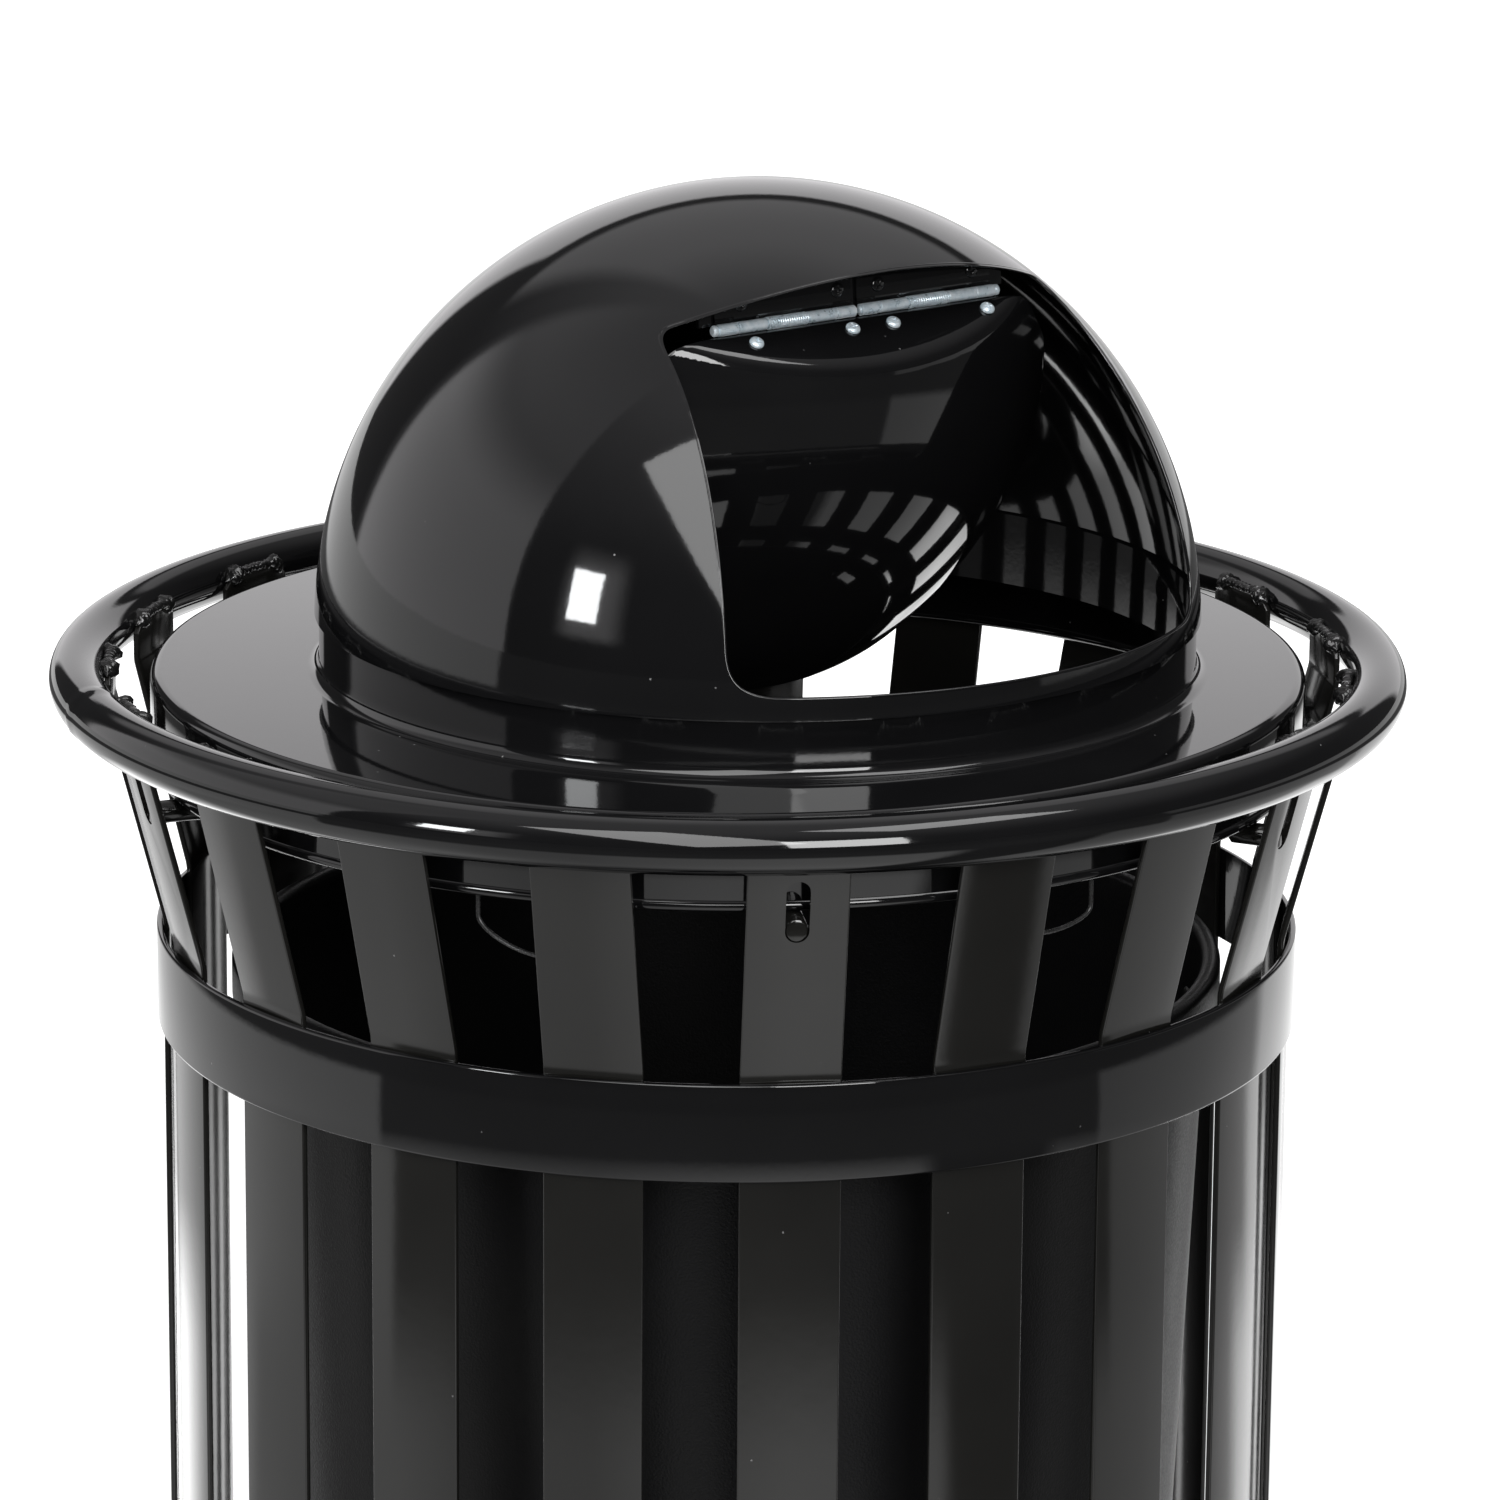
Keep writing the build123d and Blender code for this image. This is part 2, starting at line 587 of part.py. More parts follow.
pieces = {
    "rim_tube": rim_tube.part,
    "plain_slats": plain_slats,
    "slotted_slats": slotted_slats,
    "upper_band": upper_band.part,
    "lower_band": lower_band.part,
    "base_hoop": base_hoop.part,
    "base_plate": base_plate.part,
    "foot_nuts": foot_nuts.part,
    "lock_nuts": lock_nuts.part,
    "levelling_feet": levelling_feet.part,
    "lid_rest_pins": lid_rest_pins.part,
    "rim_welds": rim_welds.part,
    "slat_ferrules": slat_ferrules.part,
    "liner": liner.part,
    "lid_pan": lid_pan.part,
    "dome_shell": dome_shell.part,
    "hinge_strip": hinge_strip.part,
    "fixed_leaves": fixed_leaves.part,
    "hinge_pins": hinge_pins.part,
    "hinge_springs": hinge_springs.part,
    "strip_screws": strip_screws.part,
    "strip_nuts": strip_nuts.part,
    "tether_cables": tether_cables.part,
    "lid_ferrules": lid_ferrules.part,
    "lid_lugs": lid_lugs.part,
    "flap_panel": swung(flap_panel.part),
    "flap_leaves": swung(flap_leaves.part),
    "flap_screws": swung(flap_screws.part),
    "flap_nuts": swung(flap_nuts.part),
}

os.makedirs("parts", exist_ok=True)
for name, part in pieces.items():
    part.label = name
    export_step(part, f"parts/{name}.step")
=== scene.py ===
import bmesh
import bpy
import math
import random
from mathutils import Matrix, Vector, noise


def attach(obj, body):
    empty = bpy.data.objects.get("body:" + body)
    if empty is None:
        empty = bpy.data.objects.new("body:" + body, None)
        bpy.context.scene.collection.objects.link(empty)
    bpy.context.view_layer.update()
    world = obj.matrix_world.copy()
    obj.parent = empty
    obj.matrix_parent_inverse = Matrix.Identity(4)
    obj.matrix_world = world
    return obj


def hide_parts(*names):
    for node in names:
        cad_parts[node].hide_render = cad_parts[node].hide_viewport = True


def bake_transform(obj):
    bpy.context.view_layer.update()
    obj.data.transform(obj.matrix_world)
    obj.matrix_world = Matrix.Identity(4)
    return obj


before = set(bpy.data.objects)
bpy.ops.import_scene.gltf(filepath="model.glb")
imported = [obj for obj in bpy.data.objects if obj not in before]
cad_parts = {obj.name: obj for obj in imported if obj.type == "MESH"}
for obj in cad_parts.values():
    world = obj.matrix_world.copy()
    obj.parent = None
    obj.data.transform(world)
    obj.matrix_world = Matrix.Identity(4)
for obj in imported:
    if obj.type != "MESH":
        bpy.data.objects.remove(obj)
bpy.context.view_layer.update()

# Lengths below are in millimetres in the row frame and become metres when a mesh is made.
# The door faces -Y. Azimuths are in degrees from -Y towards +X.
MM = 0.001
RIM_Z, RIM_R, TUBE_R = 850.0, 341.3, 14.3
SLATS, SLAT_W, SLAT_T = 19, 50.8, 3.2
SLAT_AZ0, SLAT_PITCH = -30.3, 360.0 / SLATS
SLOTTED = (0, 3, 6, 9, 12, 15)
BAND_IN, BAND_OUT, BAND_H = 298.3, 301.3, 50.8
SLAT_LOW, SLAT_TOP = 40.0, 854.0
FACE_LOW, FACE_TOP = 297.1, 325.9
BEND_LOW, BEND_HIGH = RIM_Z - 129.5, RIM_Z - 18.0
DOME = Vector((8.0, -15.0, RIM_Z + 27.5))
DOME_R, DOME_T = 232.0, 1.7
DOME_FOOT = 7.0
LID_R, LID_TOP = 303.0, RIM_Z + 4.4
PIN_Z, PIN_R = RIM_Z - 50.4, 5.9
HEM_Z = PIN_Z + PIN_R + 0.05
NECK_R, NECK_TOP = 229.6, RIM_Z + 42.0
HINGE = Vector((DOME.x + 4.0, DOME.y - 77.0, DOME.z + 178.5))
OPEN_REST = math.radians(59.0)
FLAP_R, FLAP_T = 225.5, 1.9
FACET_TILT = math.radians(27.0)
FACET_N, FACET_S = -0.1, 4.7
LEAF_TILT = math.radians(95.0)
BARREL_R = 3.1
SCREW_X = (-71.5, -10.5, 15.5, 76.5)
HAND_HOLE_AZ = 54.0


# ------------------------------------------------------------------ mesh helpers
def outward(azimuth):
    a = math.radians(azimuth)
    return Vector((math.sin(a), -math.cos(a), 0))


def piece(name, verts, faces, material, body, stands_for=(), slot=None, smooth=35):
    """A mesh object in the row frame that rides on a body. smooth is the sharp-edge angle."""
    mesh = bpy.data.meshes.new(name)
    mesh.from_pydata([tuple(c * MM for c in v) for v in verts], [], faces)
    mesh.validate()
    obj = bpy.data.objects.new(name, mesh)
    bpy.context.scene.collection.objects.link(obj)
    finish_piece(obj, material, body, stands_for, smooth)
    return obj


def finish_piece(obj, material, body, stands_for=(), smooth=35):
    mesh = obj.data
    mesh.materials.clear()
    mesh.materials.append(material)
    for p in mesh.polygons:
        p.use_smooth = True
    if smooth is not None:
        mesh.set_sharp_from_angle(angle=math.radians(smooth))
    if body:
        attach(obj, body)
    if stands_for:
        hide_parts(*stands_for)


def merge(parts):
    """Join several (verts, faces) pairs into one."""
    verts, faces = [], []
    for v, f in parts:
        base = len(verts)
        verts += v
        faces += [tuple(i + base for i in face) for face in f]
    return verts, faces


def rounded(points, closed=True, steps=6):
    """Round the corners of a polyline of (a, b, radius) points. Returns (a, b) points."""
    out = []
    n = len(points)
    for i, (a, b, radius) in enumerate(points):
        here = Vector((a, b))
        if radius <= 0 or (not closed and i in (0, n - 1)):
            out.append((a, b))
            continue
        before = Vector(points[i - 1][:2])
        after = Vector(points[(i + 1) % n][:2])
        u, v = (before - here).normalized(), (after - here).normalized()
        half = u.angle(v) / 2
        reach = min(radius / math.tan(half), 0.49 * (before - here).length,
                    0.49 * (after - here).length)
        r = reach * math.tan(half)
        centre = here + (u + v).normalized() * (r / math.sin(half))
        start, end = here + u * reach - centre, here + v * reach - centre
        turn = start.angle(end)
        if start.x * end.y - start.y * end.x < 0:
            turn = -turn
        for k in range(steps + 1):
            t = turn * k / steps
            c, s = math.cos(t), math.sin(t)
            p = centre + Vector((start.x * c - start.y * s, start.x * s + start.y * c))
            out.append((p.x, p.y))
    return out


def lathe(profile, segments=256, centre=(0.0, 0.0), closed=True):
    """Turn (radius, z) points about an upright axis. Points at radius 0 become poles."""
    verts, faces = [], []
    ring_start = []
    for r, z in profile:
        ring_start.append((len(verts), r < 1e-6))
        if r < 1e-6:
            verts.append((centre[0], centre[1], z))
        else:
            for k in range(segments):
                a = 2 * math.pi * k / segments
                verts.append((centre[0] + r * math.cos(a), centre[1] + r * math.sin(a), z))
    pairs = [(i, i + 1) for i in range(len(profile) - 1)]
    if closed:
        pairs.append((len(profile) - 1, 0))
    for i, j in pairs:
        (p, p_pole), (q, q_pole) = ring_start[i], ring_start[j]
        if p_pole and q_pole:
            continue
        for k in range(segments):
            m = (k + 1) % segments
            if p_pole:
                faces.append((p, q + m, q + k))
            elif q_pole:
                faces.append((p + k, p + m, q))
            else:
                faces.append((p + k, p + m, q + m, q + k))
    return verts, faces


def tube(path, radius, sides=16, closed=False, radii=None):
    """A round tube along points, with flat ends when open."""
    n = len(path)
    path = [Vector(p) for p in path]
    tangents = []
    for i in range(n):
        if closed:
            t = path[(i + 1) % n] - path[i - 1]
        else:
            t = path[min(i + 1, n - 1)] - path[max(i - 1, 0)]
        tangents.append(t.normalized())
    helper = Vector((0, 0, 1)) if abs(tangents[0].z) < 0.9 else Vector((1, 0, 0))
    normal = tangents[0].cross(helper).normalized()
    normals = [normal]
    for i in range(1, n):
        normal = normals[-1] - tangents[i] * normals[-1].dot(tangents[i])
        normals.append(normal.normalized())
    twist = 0.0
    if closed:
        last = normals[-1] - tangents[0] * normals[-1].dot(tangents[0])
        last.normalize()
        twist = math.atan2(tangents[0].dot(last.cross(normals[0])), last.dot(normals[0]))
    verts, faces = [], []
    for i in range(n):
        b = tangents[i].cross(normals[i])
        r = radii[i] if radii else radius
        for k in range(sides):
            a = 2 * math.pi * k / sides + twist * i / n
            verts.append(tuple(path[i] + normals[i] * (r * math.cos(a)) + b * (r * math.sin(a))))
    for i in range(n if closed else n - 1):
        j = (i + 1) % n
        for k in range(sides):
            m = (k + 1) % sides
            faces.append((i * sides + k, i * sides + m, j * sides + m, j * sides + k))
    if not closed:
        faces.append(tuple(range(sides))[::-1])
        faces.append(tuple((n - 1) * sides + k for k in range(sides)))
    return verts, faces


def prism(outline, origin, ax, ay, depth):
    """Straight prism: outline is (a, b) points in directions ax and ay, pushed along depth."""
    n = len(outline)
    front = [origin + ax * a + ay * b for a, b in outline]
    verts = [tuple(p) for p in front] + [tuple(p + depth) for p in front]
    faces = [tuple(range(n))[::-1], tuple(range(n, 2 * n))]
    faces += [(i, (i + 1) % n, n + (i + 1) % n, n + i) for i in range(n)]
    return verts, faces


def transformed(part, matrix):
    verts, faces = part
    return [tuple(matrix @ Vector(v)) for v in verts], faces


def raw_object(name, verts, faces):
    mesh = bpy.data.meshes.new(name)
    mesh.from_pydata([tuple(c * MM for c in v) for v in verts], [], faces)
    obj = bpy.data.objects.new(name, mesh)
    bpy.context.scene.collection.objects.link(obj)
    return obj


def cut_away(obj, parts):
    """Cut closed prisms out of a closed mesh."""
    cutter = raw_object(obj.name + "_cutter", *merge(parts))
    fix = bpy.data.meshes[cutter.data.name]
    recalculate(fix)
    recalculate(obj.data)
    mod = obj.modifiers.new("cut", "BOOLEAN")
    mod.operation = "DIFFERENCE"
    mod.solver = "EXACT"
    mod.object = cutter
    graph = bpy.context.evaluated_depsgraph_get()
    result = bpy.data.meshes.new_from_object(obj.evaluated_get(graph))
    obj.modifiers.clear()
    obj.data = result
    bpy.data.objects.remove(cutter)


def recalculate(mesh):
    """Turn every face outwards."""
    bm = bmesh.new()
    bm.from_mesh(mesh)
    bmesh.ops.recalc_face_normals(bm, faces=bm.faces)
    bm.to_mesh(mesh)
    bm.free()


# ------------------------------------------------------------------ material helpers
class Nodes:
    """Small helper that builds one node material."""

    def __init__(self, name):
        self.mat = bpy.data.materials.new(name)
        self.mat.use_nodes = True
        self.tree = self.mat.node_tree
        self.bsdf = self.tree.nodes["Principled BSDF"]
        self.coords = self.add("ShaderNodeTexCoord").outputs["Object"]

    def add(self, kind, **inputs):
        node = self.tree.nodes.new(kind)
        for key, value in inputs.items():
            if hasattr(value, "is_output"):
                self.tree.links.new(value, node.inputs[key])
            else:
                node.inputs[key].default_value = value
        return node

    def link(self, a, b):
        self.tree.links.new(a, b)

    def noise(self, scale, detail=3.0, rough=0.5, vector=None):
        return self.add("ShaderNodeTexNoise", Vector=vector or self.coords, Scale=scale,
                        Detail=detail, Roughness=rough).outputs["Fac"]

    def ramp(self, value, stops):
        node = self.add("ShaderNodeValToRGB", Fac=value)
        elements = node.color_ramp.elements
        while len(elements) < len(stops):
            elements.new(0.5)
        for e, (pos, col) in zip(elements, stops):
            e.position = pos
            e.color = (*col, 1) if isinstance(col, tuple) else (col, col, col, 1)
        return node.outputs["Color"]

    def remap(self, value, lo, hi, to_lo, to_hi):
        node = self.tree.nodes.new("ShaderNodeMapRange")
        node.inputs["From Min"].default_value = lo
        node.inputs["From Max"].default_value = hi
        node.inputs["To Min"].default_value = to_lo
        node.inputs["To Max"].default_value = to_hi
        self.link(value, node.inputs["Value"])
        return node.outputs["Result"]

    def math(self, op, a, b=0.0):
        node = self.tree.nodes.new("ShaderNodeMath")
        node.operation = op
        for socket, value in zip(node.inputs, (a, b)):
            if hasattr(value, "is_output"):
                self.link(value, socket)
            else:
                socket.default_value = value
        return node.outputs[0]

    def mix(self, fac, a, b):
        node = self.tree.nodes.new("ShaderNodeMix")
        node.data_type = "RGBA"
        for socket, value in zip((node.inputs["Factor"], node.inputs[6], node.inputs[7]), (fac, a, b)):
            if hasattr(value, "is_output"):
                self.link(value, socket)
            elif socket.name == "Factor":
                socket.default_value = value
            else:
                socket.default_value = (*value, 1)
        return node.outputs[2]

    def bump(self, layers):
        """layers is a list of (height socket, distance in mm, strength)."""
        normal = None
        for height, distance, strength in layers:
            node = self.tree.nodes.new("ShaderNodeBump")
            node.inputs["Distance"].default_value = distance * MM
            node.inputs["Strength"].default_value = strength
            self.link(height, node.inputs["Height"])
            if normal is not None:
                self.link(normal, node.inputs["Normal"])
            normal = node.outputs["Normal"]
        self.link(normal, self.bsdf.inputs["Normal"])
        return normal

    def set(self, **inputs):
        for key, value in inputs.items():
            socket = self.bsdf.inputs[key.replace("_", " ")]
            if hasattr(value, "is_output"):
                self.link(value, socket)
            elif isinstance(value, tuple):
                socket.default_value = (*value, 1)
            else:
                socket.default_value = value


def powder_coat(name, colour, rough, peel, wave, lumps=0.0):
    """Glossy powder coat: orange peel, faint cloudiness and a few dust specks."""
    n = Nodes(name)
    cloud = n.noise(9.0, 4.0)
    fine = n.noise(620.0, 2.0)
    specks = n.add("ShaderNodeTexVoronoi", Vector=n.coords, Scale=75.0)
    dust = n.remap(specks.outputs["Distance"], 0.02, 0.05, 1.0, 0.0)
    rare = n.remap(n.noise(33.0, 1.0), 0.60, 0.63, 0.0, 1.0)
    dust = n.math("MULTIPLY", dust, rare)
    base = n.ramp(cloud, [(0.3, tuple(c * 0.8 for c in colour)), (0.7, tuple(c * 1.25 for c in colour))])
    base = n.mix(dust, base, (0.16, 0.16, 0.16))
    r = n.remap(cloud, 0.3, 0.7, rough * 0.85, rough * 1.2)
    r = n.math("ADD", r, n.math("MULTIPLY", dust, 0.35))
    n.set(Base_Color=base, Roughness=r, IOR=1.5)
    layers = [(n.noise(wave, 1.0, 0.4), peel, 1.0), (n.noise(300.0, 1.5), peel * 0.55, 1.0),
              (fine, peel * 0.12, 1.0)]
    if lumps:
        layers.insert(0, (n.noise(170.0, 2.0), lumps, 1.0))
    n.bump(layers)
    return n.mat


def zinc_plate():
    n = Nodes("zinc_plate")
    patches = n.noise(260.0, 3.0)
    scratches = n.add("ShaderNodeTexNoise", Vector=n.coords, Scale=900.0, Detail=2.0)
    colour = n.ramp(patches, [(0.3, (0.50, 0.60, 0.66)), (0.55, (0.66, 0.74, 0.79)),
                              (0.8, (0.80, 0.85, 0.88))])
    n.set(Base_Color=colour, Metallic=0.45, Roughness=n.remap(patches, 0.3, 0.7, 0.25, 0.42))
    n.bump([(scratches.outputs["Fac"], 0.03, 0.6)])
    return n.mat


def pebbled_plastic():
    n = Nodes("pebbled_plastic")
    cells = n.add("ShaderNodeTexVoronoi", Vector=n.coords, Scale=800.0).outputs["Distance"]
    soft = n.noise(700.0, 2.0)
    cloud = n.noise(7.0, 3.0)
    colour = n.ramp(cloud, [(0.3, (0.0035, 0.0035, 0.004)), (0.7, (0.007, 0.007, 0.007))])
    n.set(Base_Color=colour, Roughness=n.remap(soft, 0.3, 0.7, 0.34, 0.46), IOR=1.27)
    n.bump([(cells, 0.16, 0.6), (soft, 0.12, 0.6)])
    return n.mat


def cable_jacket():
    n = Nodes("cable_jacket")
    wave = n.noise(900.0, 2.0)
    n.set(Base_Color=n.ramp(n.noise(60.0), [(0.3, (0.012, 0.012, 0.012)), (0.7, (0.03, 0.03, 0.03))]),
          Roughness=n.remap(wave, 0.3, 0.7, 0.22, 0.36))
    n.bump([(wave, 0.05, 0.6)])
    return n.mat


# Painted glow of the floor as the paint reflects it, near the bin, further off and at the horizon;
# its dark stretches are painted dark reflections. (degrees from the camera's side, brightness).
FLOOR_NEAR_PAINTED_GLOW = [(-180, 2.4), (-150, 3.0), (-141, 3.0), (-120, 1.6), (-105, 0.6), (-85, 0.8), (-66, 0.92),
              (-40, 0.7), (-25, 0.68), (-8, 0.95), (12, 1.15), (36, 1.1), (40, 0.07), (62, 0.07), (66, 0.65),
              (100, 0.7), (116, 1.0), (123, 2.2), (150, 2.2), (180, 1.9)]
FLOOR_FAR_PAINTED_GLOW = [(-180, 1.2), (-107, 0.9), (-68.5, 0.95), (-67.5, 0.11), (74.5, 0.11), (75.5, 0.55), (105, 0.6),
             (126, 0.7), (131, 1.6), (180, 1.2)]
FLOOR_HORIZON_PAINTED_GLOW = [(-180, 0.9), (-68.5, 0.9), (-67.5, 0.06), (74.5, 0.06), (75.5, 0.4), (180, 0.8)]


def pale_floor_painted_glow():
    """A white sweep. To the camera it is pale, with a glow that rises with distance. To every other ray
    it glows in an uneven painted pattern that ends a stride in front of the bin, with a painted shadow
    round the bin's foot, so the paint shows painted reflections.
    """
    n = Nodes("pale_floor_painted_glow")
    d = outward(-36.6)
    far = n.add("ShaderNodeVectorMath", **{"Vector": n.coords})
    far.operation = "LENGTH"
    reach = far.outputs["Value"]

    def along(vector):
        node = n.add("ShaderNodeVectorMath", **{"Vector": n.coords})
        node.operation = "DOT_PRODUCT"
        node.inputs[1].default_value = vector
        return node.outputs["Value"]

    turn = n.math("ARCTAN2", along((-d.y, d.x, 0)), along(tuple(d)))
    turn = n.remap(turn, -math.pi, math.pi, 0.0, 1.0)
    # Painted reflections: what the floor gives off to every ray but the camera's, by direction from the bin.
    near = n.ramp(turn, [((a + 180) / 360, v / 4) for a, v in FLOOR_NEAR_PAINTED_GLOW])
    away = n.ramp(turn, [((a + 180) / 360, v / 4) for a, v in FLOOR_FAR_PAINTED_GLOW])
    horizon = n.ramp(turn, [((a + 180) / 360, v / 4) for a, v in FLOOR_HORIZON_PAINTED_GLOW])
    painted_glow = n.mix(n.remap(reach, 1.45, 1.75, 0.0, 1.0), near, away)
    painted_glow = n.mix(n.remap(reach, 3.1, 3.4, 0.0, 1.0), painted_glow, (0.02, 0.02, 0.02))
    painted_glow = n.mix(n.remap(reach, 5.3, 5.7, 0.0, 1.0), painted_glow, horizon)
    # Painted shadow: the glow dims towards the bin's foot.
    shadow = n.remap(reach, 0.28, 0.5, 0.15, 1.0)
    path = n.add("ShaderNodeLightPath")
    seen = path.outputs["Is Camera Ray"]
    clear = n.remap(reach, 0.6, 3.0, 0.3, 1.0)
    # Other rays get the painted glow dimmed by the painted shadow; the camera gets a glow that rises with
    # distance.
    strength = n.mix(seen, n.math("MULTIPLY", shadow, 4.0), clear)
    patch = n.noise(0.6, 4.0)
    tone = n.ramp(patch, [(0.3, (0.86, 0.86, 0.86)), (0.7, (0.9, 0.9, 0.9))])
    base = n.mix(seen, (0.0, 0.0, 0.0), tone)
    glow = n.mix(seen, painted_glow, (1.0, 1.0, 1.0))
    n.set(Base_Color=base, Roughness=0.8, Emission_Color=glow, Emission_Strength=strength)
    n.bump([(n.noise(40.0), 0.2, 0.2)])
    return n.mat


GLOSS = powder_coat("gloss_black_coat", (0.0040, 0.0040, 0.0043), 0.05, 0.013, 70.0)
SLAT_COAT = powder_coat("slat_black_coat", (0.0075, 0.0073, 0.0066), 0.11, 0.02, 90.0)
WELD_COAT = powder_coat("weld_black_coat", (0.006, 0.006, 0.006), 0.08, 0.03, 120.0, lumps=0.7)
ZINC = zinc_plate()
PLASTIC = pebbled_plastic()
JACKET = cable_jacket()


# ------------------------------------------------------------------ body
def rim_tube():
    """The rolled hoop, with the low bead of its butt weld at one side."""
    around, sides = 512, 48
    seam = math.radians(-108.0)
    verts, faces = [], []
    for i in range(around):
        a = 2 * math.pi * i / around - math.pi
        d = Vector((math.sin(a), -math.cos(a), 0))
        gap = (a - seam + math.pi) % (2 * math.pi) - math.pi
        arc = gap * RIM_R
        bead = 0.9 * math.exp(-(arc / 3.0) ** 2)
        for k in range(sides):
            b = 2 * math.pi * k / sides
            rough = noise.noise(Vector((k * 0.9, i * 0.7, 3.0)))
            r = TUBE_R + bead * (0.65 + 0.6 * rough)
            p = d * (RIM_R + r * math.cos(b)) + Vector((0, 0, RIM_Z + r * math.sin(b)))
            verts.append(tuple(p))
    for i in range(around):
        j = (i + 1) % around
        for k in range(sides):
            m = (k + 1) % sides
            faces.append((i * sides + k, j * sides + k, j * sides + m, i * sides + m))
    return verts, faces


def slat_path():
    """Outer face of a bent bar as (radius, z, half width) with rolled bends."""
    pts = rounded([(FACE_LOW, SLAT_LOW, 0), (FACE_LOW, BEND_LOW, 26), (FACE_TOP, BEND_HIGH, 16),
                   (FACE_TOP, SLAT_TOP, 0)], closed=False, steps=8)
    out = []
    for r, z in pts:
        if z >= SLAT_TOP - 0.1:
            out.append((r, SLAT_TOP - 7.0, SLAT_W / 2))
            out.append((r, SLAT_TOP - 0.6, SLAT_W / 2 - 6.4))
            out.append((r, SLAT_TOP, SLAT_W / 2 - 7.6))
        else:
            out.append((r, z, SLAT_W / 2))
    first = out[0]
    out[0] = (first[0], first[1], first[2] - 0.6)
    out.insert(1, (first[0], first[1] + 0.6, first[2]))
    return out


def slat(azimuth):
    path = slat_path()
    d = outward(azimuth)
    side = Vector((-d.y, d.x, 0))
    round_r = 0.75
    verts, faces = [], []
    count = 0
    for i, (r, z, half) in enumerate(path):
        r0, z0, _ = path[max(i - 1, 0)]
        r1, z1, _ = path[min(i + 1, len(path) - 1)]
        t = Vector((r1 - r0, z1 - z0)).normalized()
        n2 = Vector((-t.y, t.x))
        ring = rounded([(-half, 0, round_r), (half, 0, round_r), (half, SLAT_T, round_r),
                        (-half, SLAT_T, round_r)], steps=3)
        count = len(ring)
        for across, depth in ring:
            p = d * (r + n2.x * depth) + side * across + Vector((0, 0, z + n2.y * depth))
            verts.append(tuple(p))
    rows = len(path)
    for i in range(rows - 1):
        for k in range(count):
            m = (k + 1) % count
            faces.append((i * count + k, i * count + m, (i + 1) * count + m, (i + 1) * count + k))
    faces.append(tuple(range(count))[::-1])
    faces.append(tuple((rows - 1) * count + k for k in range(count)))
    return verts, faces


def slot_cutter(azimuth):
    d = outward(azimuth)
    side = Vector((-d.y, d.x, 0))
    low, high, r = RIM_Z - 56.4, RIM_Z - 23.0, 6.0
    ring = []
    for k in range(17):
        a = math.pi * k / 16
        ring.append((r * math.cos(a), high - r + r * math.sin(a)))
    for k in range(17):
        a = math.pi + math.pi * k / 16
        ring.append((r * math.cos(a), low + r + r * math.sin(a)))
    return prism(ring, d * 285, side, Vector((0, 0, 1)), d * 60)


def slat_azimuth(i):
    return SLAT_AZ0 + i * SLAT_PITCH


def slotted(i):
    return i in SLOTTED


def build_slats():
    plain = [slat(slat_azimuth(i)) for i in range(SLATS) if not slotted(i)]
    piece("slats_plain", *merge(plain), SLAT_COAT, "bin_body", ["plain_slats"], "black_slat_paint")
    cut = [i for i in range(SLATS) if slotted(i)]
    bars = piece("slats_slotted", *merge([slat(slat_azimuth(i)) for i in cut]),
                 SLAT_COAT, None)
    cut_away(bars, [slot_cutter(slat_azimuth(i)) for i in cut])
    finish_piece(bars, SLAT_COAT, "bin_body", ["slotted_slats"])


def band(name, node, z0):
    profile = rounded([(BAND_IN, z0, 0.4), (BAND_OUT, z0, 1.4), (BAND_OUT, z0 + BAND_H, 1.4),
                       (BAND_IN, z0 + BAND_H, 0.4)], steps=4)
    piece(name, *lathe(profile, 384), GLOSS, "bin_body", [node], "black_gloss_paint", smooth=50)


def rest_pins():
    parts = []
    for i in range(SLATS):
        if slotted(i):
            d = outward(slat_azimuth(i))
            profile = [(289, 0.0), (289, 4.6), (290.3, PIN_R), (314.6, PIN_R), (315.6, 5.4), (316, 4.4),
                       (316, 0)]
            steps, ring = 32, []
            verts, faces = [], []
            for along, r in profile:
                ring.append(len(verts))
                for k in range(steps):
                    a = 2 * math.pi * k / steps
                    side = Vector((-d.y, d.x, 0))
                    p = d * along + side * (r * math.cos(a)) + Vector((0, 0, PIN_Z + r * math.sin(a)))
                    verts.append(tuple(p))
            for s in range(len(profile) - 1):
                for k in range(steps):
                    m = (k + 1) % steps
                    faces.append((ring[s] + k, ring[s] + m, ring[s + 1] + m, ring[s + 1] + k))
            parts.append((verts, faces))
    piece("lid_pins", *merge(parts), SLAT_COAT, "bin_body", ["lid_rest_pins"], "black_slat_paint")


